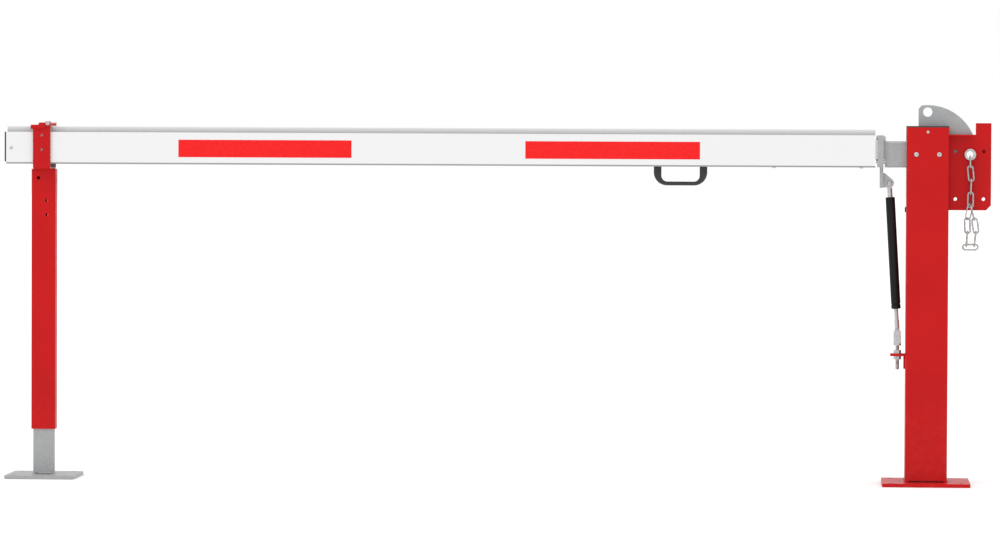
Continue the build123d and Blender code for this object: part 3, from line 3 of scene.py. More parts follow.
import logging
from dataclasses import dataclass, field
from enum import Enum
from math import cos, pi, radians, sin

import bmesh
import bpy
import numpy as np
from mathutils import Matrix, Vector


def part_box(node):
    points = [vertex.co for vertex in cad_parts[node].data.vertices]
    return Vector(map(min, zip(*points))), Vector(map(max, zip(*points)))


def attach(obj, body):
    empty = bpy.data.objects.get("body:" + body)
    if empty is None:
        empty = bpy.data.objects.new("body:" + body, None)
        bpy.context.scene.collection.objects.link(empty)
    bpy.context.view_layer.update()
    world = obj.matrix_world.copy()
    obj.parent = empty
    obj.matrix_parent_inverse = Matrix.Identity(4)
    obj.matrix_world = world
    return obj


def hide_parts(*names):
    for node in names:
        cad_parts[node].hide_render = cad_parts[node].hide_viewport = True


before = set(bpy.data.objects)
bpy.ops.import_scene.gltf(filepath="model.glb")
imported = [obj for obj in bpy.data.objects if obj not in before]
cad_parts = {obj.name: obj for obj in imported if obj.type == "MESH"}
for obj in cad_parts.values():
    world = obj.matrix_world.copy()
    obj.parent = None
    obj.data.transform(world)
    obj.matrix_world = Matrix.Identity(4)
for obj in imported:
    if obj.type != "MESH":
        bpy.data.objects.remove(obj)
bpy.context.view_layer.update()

log = logging.getLogger("barrier")

Point = tuple[float, float, float]
Colour = tuple[float, float, float]
Run = tuple[float, float, float]


# ---- finishes -----------------------------------------------------------------------------------


class Graph:
    """A material's node graph, read and written through a few plain calls."""

    def __init__(self, name: str) -> None:
        """Start a material with one Principled shader.

        Args:
            name: The material's name.
        """
        self.material = bpy.data.materials.new(name)
        self.material.use_nodes = True
        self.nodes = self.material.node_tree.nodes
        self.links = self.material.node_tree.links
        self.shader = next(n for n in self.nodes if n.type == "BSDF_PRINCIPLED")
        self.place = self.nodes.new("ShaderNodeTexCoord").outputs["Object"]

    def constant(self, socket: str, value: float | Colour) -> None:
        """Set one of the shader's own sockets."""
        if isinstance(value, tuple):
            value = (*value, 1.0)
        self.shader.inputs[socket].default_value = value

    def drive(self, socket: str, source: bpy.types.NodeSocket) -> None:
        """Link a source into one of the shader's sockets."""
        self.links.new(source, self.shader.inputs[socket])

    def stretched(self, scale: Point) -> bpy.types.NodeSocket:
        """Object coordinates, scaled by a factor along each axis."""
        node = self.nodes.new("ShaderNodeMapping")
        node.inputs["Scale"].default_value = scale
        self.links.new(self.place, node.inputs["Vector"])
        return node.outputs["Vector"]

    def noise(
        self, scale: float, detail: float = 4.0, vector: bpy.types.NodeSocket | None = None
    ) -> bpy.types.NodeSocket:
        """Cloudy noise between 0 and 1.

        Args:
            scale: Cells for each metre.
            detail: The number of finer layers.
            vector: Coordinates other than the object's own.

        Returns:
            The noise's height.
        """
        node = self.nodes.new("ShaderNodeTexNoise")
        node.inputs["Scale"].default_value = scale
        node.inputs["Detail"].default_value = detail
        self.links.new(vector or self.place, node.inputs["Vector"])
        return node.outputs[0]

    def cells(self, scale: float, edges: bool = False) -> bpy.types.NodeSocket:
        """Voronoi cells: a flat random grey for each cell, or the distance to its edge.

        Args:
            scale: Cells for each metre.
            edges: Whether to give the distance to the edge.

        Returns:
            The cells' value.
        """
        node = self.nodes.new("ShaderNodeTexVoronoi")
        node.feature = "DISTANCE_TO_EDGE" if edges else "F1"
        node.inputs["Scale"].default_value = scale
        self.links.new(self.place, node.inputs["Vector"])
        if edges:
            return node.outputs["Distance"]
        grey = self.nodes.new("ShaderNodeSeparateColor")
        self.links.new(node.outputs["Color"], grey.inputs[0])
        return grey.outputs[0]

    def height(self) -> bpy.types.NodeSocket:
        """The Z coordinate of the surface."""
        split = self.nodes.new("ShaderNodeSeparateXYZ")
        self.links.new(self.place, split.inputs[0])
        return split.outputs["Z"]

    def remap(
        self, source: bpy.types.NodeSocket, low: float, high: float, out_low: float, out_high: float
    ) -> bpy.types.NodeSocket:
        """Carry a value from one range to another, clamped.

        Args:
            source: The value.
            low: Where the incoming range starts.
            high: Where the incoming range ends.
            out_low: The result at the start.
            out_high: The result at the end.

        Returns:
            The remapped value.
        """
        node = self.nodes.new("ShaderNodeMapRange")
        node.inputs["From Min"].default_value = low
        node.inputs["From Max"].default_value = high
        node.inputs["To Min"].default_value = out_low
        node.inputs["To Max"].default_value = out_high
        self.links.new(source, node.inputs["Value"])
        return node.outputs["Result"]

    def times(
        self, first: bpy.types.NodeSocket, second: bpy.types.NodeSocket
    ) -> bpy.types.NodeSocket:
        """The product of two values."""
        node = self.nodes.new("ShaderNodeMath")
        node.operation = "MULTIPLY"
        self.links.new(first, node.inputs[0])
        self.links.new(second, node.inputs[1])
        return node.outputs[0]

    def blend(
        self,
        share: bpy.types.NodeSocket,
        low: Colour | bpy.types.NodeSocket,
        high: Colour | bpy.types.NodeSocket,
    ) -> bpy.types.NodeSocket:
        """Mix two colours.

        Args:
            share: How much of the second colour shows.
            low: The first colour, or a socket that gives it.
            high: The second colour, or a socket that gives it.

        Returns:
            The mixed colour.
        """
        node = self.nodes.new("ShaderNodeMix")
        node.data_type = "RGBA"
        self.links.new(share, node.inputs[0])
        for slot, value in ((6, low), (7, high)):
            if isinstance(value, tuple):
                node.inputs[slot].default_value = (*value, 1.0)
            else:
                self.links.new(value, node.inputs[slot])
        return node.outputs[2]

    def relief(
        self,
        height: bpy.types.NodeSocket,
        depth: float,
        strength: float,
        below: bpy.types.NodeSocket | None = None,
    ) -> bpy.types.NodeSocket:
        """A bumped normal.

        Args:
            height: The relief's height between 0 and 1.
            depth: Its full depth in metres.
            strength: How much of it shows.
            below: A normal that this one is laid over.

        Returns:
            The normal.
        """
        node = self.nodes.new("ShaderNodeBump")
        node.inputs["Distance"].default_value = depth
        node.inputs["Strength"].default_value = strength
        self.links.new(height, node.inputs["Height"])
        if below is not None:
            self.links.new(below, node.inputs["Normal"])
        return node.outputs["Normal"]


@dataclass(frozen=True)
class PowderCoat:
    """Baked paint on steel: slightly cloudy, orange-peeled, dusty near the ground."""

    name: str
    colour: Colour
    deep: Colour
    dust: Colour = (0.30, 0.22, 0.17)
    roughness: float = 0.38
    dust_top: float = 0.30
    dust_share: float = 0.06
    gloss: float = 0.12
    lacquer: float = 0.06

    def material(self) -> bpy.types.Material:
        """Build the paint's material."""
        g = Graph(self.name)
        clouds = g.remap(g.noise(5.0, 3.0), 0.35, 0.7, 0.0, 1.0)
        paint = g.blend(clouds, self.deep, self.colour)
        low = g.remap(g.height(), 0.0, self.dust_top, self.dust_share, 0.0)
        specks = g.remap(g.noise(60.0, 6.0), 0.45, 0.75, 0.0, 1.0)
        g.drive("Base Color", g.blend(g.times(low, specks), paint, self.dust))
        smooth, rough = self.roughness - 0.05, self.roughness + 0.07
        g.drive("Roughness", g.remap(g.noise(25.0), 0.3, 0.7, smooth, rough))
        g.drive("Normal", g.relief(g.noise(420.0, 2.0), 0.00035, 0.35))
        g.constant("Specular IOR Level", self.gloss)
        g.constant("Coat Weight", self.lacquer)
        g.constant("Coat Roughness", 0.22)
        return g.material


@dataclass(frozen=True)
class Galvanised:
    """Hot-dipped steel: spangled, dull, with runs down its faces."""

    name: str
    colour: Colour
    light: Colour
    roughness: float = 0.48
    metallic: float = 0.55
    spangle: float = 130.0

    def material(self) -> bpy.types.Material:
        """Build the zinc's material."""
        g = Graph(self.name)
        spangle = g.remap(g.cells(self.spangle), 0.0, 1.0, 0.0, 0.8)
        runs = g.noise(1.0, 5.0, g.stretched((60.0, 60.0, 8.0)))
        base = g.blend(spangle, self.colour, self.light)
        g.drive("Base Color", g.blend(g.remap(runs, 0.5, 0.8, 0.0, 0.35), base, self.light))
        smooth, rough = self.roughness - 0.08, self.roughness + 0.08
        g.drive("Roughness", g.remap(g.cells(self.spangle), 0.0, 1.0, smooth, rough))
        g.drive("Normal", g.relief(g.noise(90.0, 5.0), 0.0006, 0.25))
        g.constant("Metallic", self.metallic)
        return g.material


@dataclass(frozen=True)
class ZincPlate:
    """Bright plated steel, as on bolts, pins and chain."""

    name: str
    colour: Colour
    dull: Colour
    roughness: float = 0.30
    metallic: float = 0.85

    def material(self) -> bpy.types.Material:
        """Build the plating's material."""
        g = Graph(self.name)
        marks = g.remap(g.noise(180.0, 6.0), 0.35, 0.7, 0.0, 1.0)
        g.drive("Base Color", g.blend(marks, self.dull, self.colour))
        g.drive("Roughness", g.remap(g.noise(300.0), 0.3, 0.7, self.roughness + 0.12, self.roughness))
        g.drive("Normal", g.relief(g.noise(700.0, 3.0), 0.0002, 0.3))
        g.constant("Metallic", self.metallic)
        return g.material


@dataclass(frozen=True)
class TurnedMetal:
    """Ground or drawn metal with fine lines along or across one axis."""

    name: str
    colour: Colour
    dull: Colour
    lines: Point
    roughness: float = 0.22
    metallic: float = 1.0
    depth: float = 0.00006

    def material(self) -> bpy.types.Material:
        """Build the drawn metal's material."""
        g = Graph(self.name)
        grain = g.noise(1.0, 4.0, g.stretched(self.lines))
        g.drive("Base Color", g.blend(grain, self.dull, self.colour))
        g.drive("Roughness", g.remap(grain, 0.3, 0.7, self.roughness + 0.1, self.roughness))
        g.drive("Normal", g.relief(grain, self.depth, 0.5))
        g.constant("Metallic", self.metallic)
        return g.material


@dataclass(frozen=True)
class Moulded:
    """Moulded plastic or rubber with a fine spark-eroded grain."""

    name: str
    colour: Colour
    worn: Colour
    roughness: float = 0.52
    grain: float = 900.0
    depth: float = 0.00025

    def material(self) -> bpy.types.Material:
        """Build the plastic's material."""
        g = Graph(self.name)
        rubs = g.remap(g.noise(30.0, 6.0), 0.5, 0.8, 0.0, 0.7)
        g.drive("Base Color", g.blend(rubs, self.colour, self.worn))
        smooth, rough = self.roughness - 0.06, self.roughness + 0.08
        g.drive("Roughness", g.remap(g.noise(50.0), 0.3, 0.7, smooth, rough))
        g.drive("Normal", g.relief(g.noise(self.grain, 3.0), self.depth, 0.4))
        return g.material


@dataclass(frozen=True)
class CoatedExtrusion:
    """White powder coat on a drawn aluminium profile, with faint die lines along it, and painted shade
    at the foot of the top rail and along the underside.
    """

    name: str
    colour: Colour
    grey: Colour
    # The next two colours are painted shade: the first darkens the foot of the top rail, the second the
    # band along the underside.
    rail_shade: Colour
    underside_shade: Colour
    rail_shade_low: float
    underside_shade_high: float
    roughness: float = 0.34
    gloss: float = 0.25
    rail_shade_rise: float = 0.016
    rail_shade_edge: float = 0.0006
    underside_shade_edge: float = 0.0008

    def material(self) -> bpy.types.Material:
        """Build the extrusion's material."""
        g = Graph(self.name)
        patches = g.remap(g.noise(1.6, 4.0), 0.45, 0.75, 0.0, 0.35)
        face = g.blend(patches, self.colour, self.grey)
        # Painted shade: the top rail is darkest at its foot and lightens over the rise above it.
        above = g.remap(g.height(), self.rail_shade_low, self.rail_shade_low + self.rail_shade_rise, 1.0, 0.15)
        rail_shade = g.blend(above, self.colour, self.rail_shade)
        low, high = self.rail_shade_low - self.rail_shade_edge, self.rail_shade_low + self.rail_shade_edge
        rail_shade_mask = g.remap(g.height(), low, high, 0.0, 1.0)
        # Painted shade: the band along the underside, below the given height, is painted grey.
        low, high = self.underside_shade_high - self.underside_shade_edge, self.underside_shade_high + self.underside_shade_edge
        underside_shade_mask = g.remap(g.height(), low, high, 1.0, 0.0)
        g.drive("Base Color", g.blend(underside_shade_mask, g.blend(rail_shade_mask, face, rail_shade), self.underside_shade))
        smooth, rough = self.roughness - 0.05, self.roughness + 0.08
        g.drive("Roughness", g.remap(g.noise(9.0), 0.3, 0.7, smooth, rough))
        lines = g.relief(g.noise(1.0, 3.0, g.stretched((1.5, 300.0, 300.0))), 0.00012, 0.35)
        g.drive("Normal", g.relief(g.noise(500.0, 2.0), 0.0002, 0.25, lines))
        g.constant("Specular IOR Level", self.gloss)
        g.constant("Coat Weight", 0.05)
        g.constant("Coat Roughness", 0.25)
        return g.material


@dataclass(frozen=True)
class ReflectiveFilm:
    """Prismatic reflective film: small cells under a glossy face."""

    name: str
    colour: Colour
    bright: Colour
    cell: float = 330.0
    roughness: float = 0.28

    def material(self) -> bpy.types.Material:
        """Build the film's material."""
        g = Graph(self.name)
        border = g.remap(g.cells(self.cell, edges=True), 0.0, 0.12, 1.0, 0.0)
        face = g.blend(g.remap(g.cells(self.cell), 0.0, 1.0, 0.0, 0.6), self.colour, self.bright)
        g.drive("Base Color", g.blend(g.remap(border, 0.0, 1.0, 0.0, 0.35), face, self.bright))
        rough = self.roughness + 0.1
        g.drive("Roughness", g.remap(g.cells(self.cell), 0.0, 1.0, self.roughness, rough))
        g.drive("Normal", g.relief(g.cells(self.cell, edges=True), 0.0003, 0.25))
        g.constant("Specular IOR Level", 0.12)
        g.constant("Coat Weight", 0.1)
        g.constant("Coat Roughness", 0.12)
        return g.material


RED_PAINT = PowderCoat("red_powder_coat", (0.52, 0.005, 0.006), (0.46, 0.004, 0.005))
BLACK_ENAMEL = PowderCoat(
    "black_enamel", (0.012, 0.012, 0.013), (0.008, 0.008, 0.009), roughness=0.34, dust_top=0.0
)
HOT_DIP = Galvanised("galvanised_steel", (0.345, 0.35, 0.355), (0.41, 0.415, 0.42))
BRIGHT_DIP = Galvanised("bright_galvanised_steel", (0.40, 0.405, 0.41), (0.48, 0.485, 0.49), 0.42, 0.4)
PLATED = ZincPlate("zinc_plated_steel", (0.62, 0.62, 0.61), (0.42, 0.42, 0.42))
CHAIN_ZINC = ZincPlate("chain_zinc", (0.55, 0.55, 0.54), (0.33, 0.33, 0.33), roughness=0.36)
POLISHED = TurnedMetal(
    "polished_rod", (0.56, 0.56, 0.57), (0.44, 0.44, 0.45), (40.0, 40.0, 900.0), 0.3, 0.35
)
GROUND_SHAFT = TurnedMetal("ground_shaft", (0.6, 0.6, 0.6), (0.46, 0.46, 0.46), (60.0, 900.0, 60.0))
BRONZE = TurnedMetal("bronze_bush", (0.52, 0.36, 0.14), (0.36, 0.24, 0.09), (80.0, 900.0, 80.0), 0.3)
MILL_ALUMINIUM = TurnedMetal(
    "mill_aluminium", (0.6, 0.6, 0.61), (0.5, 0.5, 0.51), (8.0, 700.0, 700.0), 0.35
)
IRON = Galvanised("machined_iron", (0.09, 0.09, 0.095), (0.15, 0.15, 0.155), 0.5, 0.7)
BLACK_PLASTIC = Moulded("black_plastic", (0.022, 0.022, 0.023), (0.04, 0.04, 0.042))
GREY_PLASTIC = Moulded("dark_grey_plastic", (0.05, 0.05, 0.053), (0.075, 0.075, 0.08))
RUBBER = Moulded("black_rubber", (0.018, 0.018, 0.018), (0.035, 0.034, 0.033), 0.75, 600.0, 0.0005)
# The third colour is painted shade on the top rail, the fourth is painted shade on the underside band.
WHITE_PROFILE = CoatedExtrusion(
    "white_extrusion", (0.755, 0.755, 0.76), (0.71, 0.71, 0.72), (0.46, 0.46, 0.46), (0.30, 0.30, 0.30),
    rail_shade_low=0.999, underside_shade_high=0.9115,
)
RED_FILM = ReflectiveFilm("red_reflective_film", (0.76, 0.006, 0.007), (0.88, 0.02, 0.02))


@dataclass
class Wardrobe:
    """Every finish, built once and handed out by name."""

    made: dict[str, bpy.types.Material] = field(default_factory=dict)

    def get(self, finish: "Finish") -> bpy.types.Material:
        """The finish's material, built the first time it is asked for."""
        if finish.name not in self.made:
            self.made[finish.name] = finish.material()
        return self.made[finish.name]

    def dress_node(self, node: str, finish: "Finish") -> None:
        """Give a CAD node its finish.

        Args:
            node: The CAD node's name.
            finish: The finish it gets.
        """
        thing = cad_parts[node]
        material = self.get(finish)
        if not thing.data.materials:
            thing.data.materials.append(material)
        for index in range(len(thing.data.materials)):
            thing.data.materials[index] = material
        log.info("%s wears %s", node, finish.name)

    def dress_nodes(self, finishes: dict["Finish", tuple[str, ...]]) -> None:
        """Give many CAD nodes their finishes.

        Args:
            finishes: The names of the nodes that get each finish.
        """
        for finish, nodes in finishes.items():
            for node in nodes:
                self.dress_node(node, finish)

    def hand_over(
        self, piece: bpy.types.Object, finish: "Finish", slot: str, body: str, node: str = ""
    ) -> None:
        """Give a new piece its finish and the body that carries it.

        Args:
            piece: The piece.
            finish: The finish it gets.
            slot: Not used.
            body: The body it moves with.
            node: The CAD node it is shown instead of, if any.
        """
        piece.data.materials.clear()
        piece.data.materials.append(self.get(finish))
        if node:
            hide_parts(node)
        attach(piece, body)
        log.info("%s wears %s, %d faces", piece.name, finish.name, len(piece.data.polygons))


Finish = (
    PowderCoat | Galvanised | ZincPlate | TurnedMetal | Moulded | CoatedExtrusion | ReflectiveFilm
)


# ---- bench work ---------------------------------------------------------------------------------


class Bench:
    """Operator work that every sub-assembly shares."""

    touching: float = 0.00002
    ripple_pitch: float = 0.6
    ripple_squash: float = 0.62
    thread_steps: int = 28
    wire_sides: int = 14
    bend_step: float = 12.0

    @staticmethod
    def clear() -> None:
        """Leave object mode with nothing selected."""
        if bpy.context.object and bpy.context.object.mode != "OBJECT":
            bpy.ops.object.mode_set(mode="OBJECT")
        bpy.ops.object.select_all(action="DESELECT")

    @staticmethod
    def take(piece: bpy.types.Object) -> None:
        """Select one object alone and make it active."""
        Bench.clear()
        piece.select_set(True)
        bpy.context.view_layer.objects.active = piece

    @staticmethod
    def apply_modifiers(piece: bpy.types.Object) -> None:
        """Apply each modifier in its order."""
        Bench.take(piece)
        for name in [m.name for m in piece.modifiers]:
            bpy.ops.object.modifier_apply(modifier=name)

    @staticmethod
    def settle(piece: bpy.types.Object, name: str, sharp: float) -> bpy.types.Object:
        """Put the object's place into its mesh, mend its faces and smooth it.

        Args:
            piece: The object.
            name: Its final name.
            sharp: The angle in degrees above which an edge stays sharp.

        Returns:
            The same object.
        """
        Bench.take(piece)
        bpy.ops.object.transform_apply(location=True, rotation=True, scale=True)
        bpy.ops.object.mode_set(mode="EDIT")
        bpy.ops.mesh.select_all(action="SELECT")
        bpy.ops.mesh.remove_doubles(threshold=Bench.touching)
        bpy.ops.mesh.normals_make_consistent(inside=False)
        bpy.ops.object.mode_set(mode="OBJECT")
        bpy.ops.object.shade_smooth_by_angle(angle=radians(sharp))
        piece.name = name
        piece.data.name = name
        return piece

    @staticmethod
    def join(pieces: list[bpy.types.Object]) -> bpy.types.Object:
        """Join objects into the first one.

        Args:
            pieces: The objects.

        Returns:
            The joined object.
        """
        Bench.clear()
        for piece in pieces:
            piece.select_set(True)
        bpy.context.view_layer.objects.active = pieces[0]
        if len(pieces) > 1:
            bpy.ops.object.join()
        return pieces[0]

    @staticmethod
    def turned(steps: tuple[tuple[float, float], ...], sides: int = 48) -> bpy.types.Object:
        """Turn a closed solid about Z by drawing one disc out step by step.

        Args:
            steps: A height and a radius for each step, from the bottom up, in metres.
            sides: The number of sides.

        Returns:
            The solid, standing on the Z axis.
        """
        height, radius = steps[0]
        Bench.clear()
        bpy.ops.mesh.primitive_circle_add(
            vertices=sides, radius=radius, fill_type="NGON", location=(0.0, 0.0, height)
        )
        piece = bpy.context.object
        bpy.ops.object.transform_apply(location=True, rotation=False, scale=False)
        bpy.ops.object.mode_set(mode="EDIT")
        bpy.ops.mesh.select_mode(type="FACE")
        bpy.ops.mesh.select_all(action="SELECT")
        for (low, before), (high, after) in zip(steps, steps[1:]):
            bpy.ops.mesh.extrude_region_move(TRANSFORM_OT_translate={"value": (0.0, 0.0, high - low)})
            ratio = after / before
            bpy.ops.transform.resize(value=(ratio, ratio, 1.0), center_override=(0.0, 0.0, high))
        bpy.ops.object.mode_set(mode="OBJECT")
        return piece

    @staticmethod
    def lay(piece: bpy.types.Object, place: Point, along: Vector) -> None:
        """Lay a solid built on +Z along a direction, with its origin at a place."""
        piece.matrix_world = (
            Matrix.Translation(place) @ along.to_track_quat("Z", "Y").to_matrix().to_4x4()
        ) @ piece.matrix_world

    @staticmethod
    def weld(name: str, start: Point, end: Point, size: float) -> bpy.types.Object:
        """Lay a rippled weld bead.

        Args:
            name: The bead's name.
            start: Where the bead starts.
            end: Where it ends.
            size: The radius of its ripples.

        Returns:
            The bead.
        """
        run = Vector(end) - Vector(start)
        count = max(3, round(run.length / (size * Bench.ripple_pitch)))
        Bench.clear()
        bpy.ops.mesh.primitive_uv_sphere_add(segments=10, ring_count=7, radius=size, location=start)
        ripple = bpy.context.object
        squash = Bench.ripple_squash
        flat = [squash if abs(run.normalized()[axis]) > 0.5 else 1.0 for axis in range(3)]
        bpy.ops.object.mode_set(mode="EDIT")
        bpy.ops.mesh.select_all(action="SELECT")
        bpy.ops.transform.resize(value=flat, center_override=start)
        bpy.ops.object.mode_set(mode="OBJECT")
        row = ripple.modifiers.new("row", "ARRAY")
        row.count = count
        row.use_relative_offset = False
        row.use_constant_offset = True
        row.constant_offset_displace = run / (count - 1)
        Bench.apply_modifiers(ripple)
        return Bench.settle(ripple, name, 60.0)

    @staticmethod
    def thread(radius: float, pitch: float, low: float, high: float) -> bpy.types.Object:
        """Wind a thread's ridge about Z.

        Args:
            radius: The ridge's outer radius.
            pitch: The rise of one turn.
            low: The height where it starts.
            high: The height where it ends.

        Returns:
            The closed ridge.
        """
        depth = pitch * 0.5
        Bench.clear()
        bpy.ops.mesh.primitive_circle_add(
            vertices=3, radius=depth, fill_type="NOTHING",
            location=(radius - depth, 0.0, low + depth), rotation=(pi / 2, pi / 2, 0.0),
        )
        ridge = bpy.context.object
        bpy.ops.object.transform_apply(location=True, rotation=True, scale=True)
        winding = ridge.modifiers.new("winding", "SCREW")
        winding.axis = "Z"
        winding.angle = 2 * pi
        winding.screw_offset = pitch
        winding.iterations = int((high - low - 2 * depth) / pitch)
        winding.steps = Bench.thread_steps
        winding.render_steps = Bench.thread_steps
        Bench.apply_modifiers(ridge)
        bpy.ops.object.mode_set(mode="EDIT")
        bpy.ops.mesh.select_mode(type="EDGE")
        bpy.ops.mesh.select_all(action="DESELECT")
        bpy.ops.mesh.select_non_manifold()
        bpy.ops.mesh.fill()
        bpy.ops.object.mode_set(mode="OBJECT")
        return ridge

    @staticmethod
    def wire(radius: float, start: Point, runs: tuple[Run, ...]) -> bpy.types.Object:
        """Bend a round wire that lies flat in XY and starts towards +X.

        Args:
            radius: The wire's radius.
            start: The wire's first point.
            runs: For each run its straight length, then the angle in degrees and radius of the bend
                that follows it; a positive angle bends to the left.

        Returns:
            The wire, with flat ends.
        """
        Bench.clear()
        bpy.ops.mesh.primitive_circle_add(
            vertices=Bench.wire_sides, radius=radius, fill_type="NGON",
            location=start, rotation=(0.0, pi / 2, 0.0),
        )
        piece = bpy.context.object
        bpy.ops.object.transform_apply(location=True, rotation=True, scale=True)
        bpy.ops.object.mode_set(mode="EDIT")
        bpy.ops.mesh.select_mode(type="FACE")
        bpy.ops.mesh.select_all(action="SELECT")
        at, heading = Vector(start), 0.0
        for length, angle, bend in runs:
            step = Vector((cos(heading), sin(heading), 0.0)) * length
            bpy.ops.mesh.extrude_region_move(TRANSFORM_OT_translate={"value": step})
            at += step
            if angle:
                side = 1.0 if angle > 0 else -1.0
                centre = at + Vector((-sin(heading), cos(heading), 0.0)) * bend * side
                steps = max(4, int(abs(angle) / Bench.bend_step))
                bpy.ops.mesh.spin(steps=steps, angle=radians(angle), center=centre, axis=(0, 0, 1))
                turn = Matrix.Rotation(radians(angle), 3, "Z")
                at = centre + turn @ (at - centre)
                heading += radians(angle)
        bpy.ops.object.mode_set(mode="OBJECT")
        return piece


# ---- sub-assemblies -----------------------------------------------------------------------------


@dataclass
class Post:
    """The square post with its base, bearings, lock guards and the strut's foot."""

    wardrobe: Wardrobe

    bead: float = 0.0032
    base_weld_inset: float = 0.008
    guard_weld_y: float = 0.017
    guard_weld_rise: float = 0.004
    guard_weld_drop: float = 0.045
    stud_pitch: float = 0.00175
    stud_groove: float = 0.0008
    stud_chamfer: float = 0.001

    def build(self) -> None:
        """Build and dress the post."""
        self.dress()
        self.base_welds()
        self.guard_welds()
        self.threaded_stud()

    def base_welds(self) -> None:
        """Weld the tube to the base plate along its left and right sides."""
        low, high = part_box("post_tube")
        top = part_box("base_plate")[1].z
        for side, x in (("left", low.x), ("right", high.x)):
            start = (x, low.y + self.base_weld_inset, top)
            end = (x, high.y - self.base_weld_inset, top)
            bead = Bench.weld(f"base_weld_{side}", start, end, self.bead)
            self.wardrobe.hand_over(bead, RED_PAINT, "base", "post_frame")

    def guard_welds(self) -> None:
        """Weld both lock guards to the post."""
        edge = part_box("post_tube")[1].x
        for name, y in (("front", -self.guard_weld_y), ("rear", self.guard_weld_y)):
            low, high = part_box(f"lock_guard_{name}")
            start = (edge, y, low.z + self.guard_weld_rise)
            end = (edge, y, high.z - self.guard_weld_drop)
            bead = Bench.weld(f"guard_weld_{name}", start, end, self.bead)
            self.wardrobe.hand_over(bead, RED_PAINT, "guard", "post_frame")

    def threaded_stud(self) -> None:
        """Cut the adjusting stud with its thread."""
        low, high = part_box("adjusting_stud")
        radius = (high.x - low.x) / 2
        core, ends = radius - self.stud_groove, self.stud_chamfer
        bottom, top = (low.z, core - ends), (high.z, core - ends)
        shank = Bench.turned((bottom, (low.z + ends, core), (high.z - ends, core), top))
        ridge = Bench.thread(radius, self.stud_pitch, low.z + ends, high.z - ends)
        stud = Bench.join([shank, ridge])
        stud.location.x += (low.x + high.x) / 2
        Bench.settle(stud, "threaded_stud", 28.0)
        self.wardrobe.hand_over(stud, PLATED, "stud", "post_frame", "adjusting_stud")

    def dress(self) -> None:
        """Give the post's CAD nodes their finishes."""
        finishes = {
            RED_PAINT: (
                "base_plate", "post_tube", "lock_guard_front", "lock_guard_rear", "strut_bracket",
            ),
            BLACK_PLASTIC: ("post_cap_front", "post_cap_rear", "side_plug"),
            IRON: ("bearing_front", "bearing_rear"),
            BRONZE: ("bush_front", "bush_rear"),
            PLATED: (
                "cap_screws", "bearing_bolts", "lock_bush_front", "lock_bush_rear",
                "strut_fork_head", "strut_clevis_pin", "adjusting_stud", "stud_nuts",
            ),
        }
        self.wardrobe.dress_nodes(finishes)


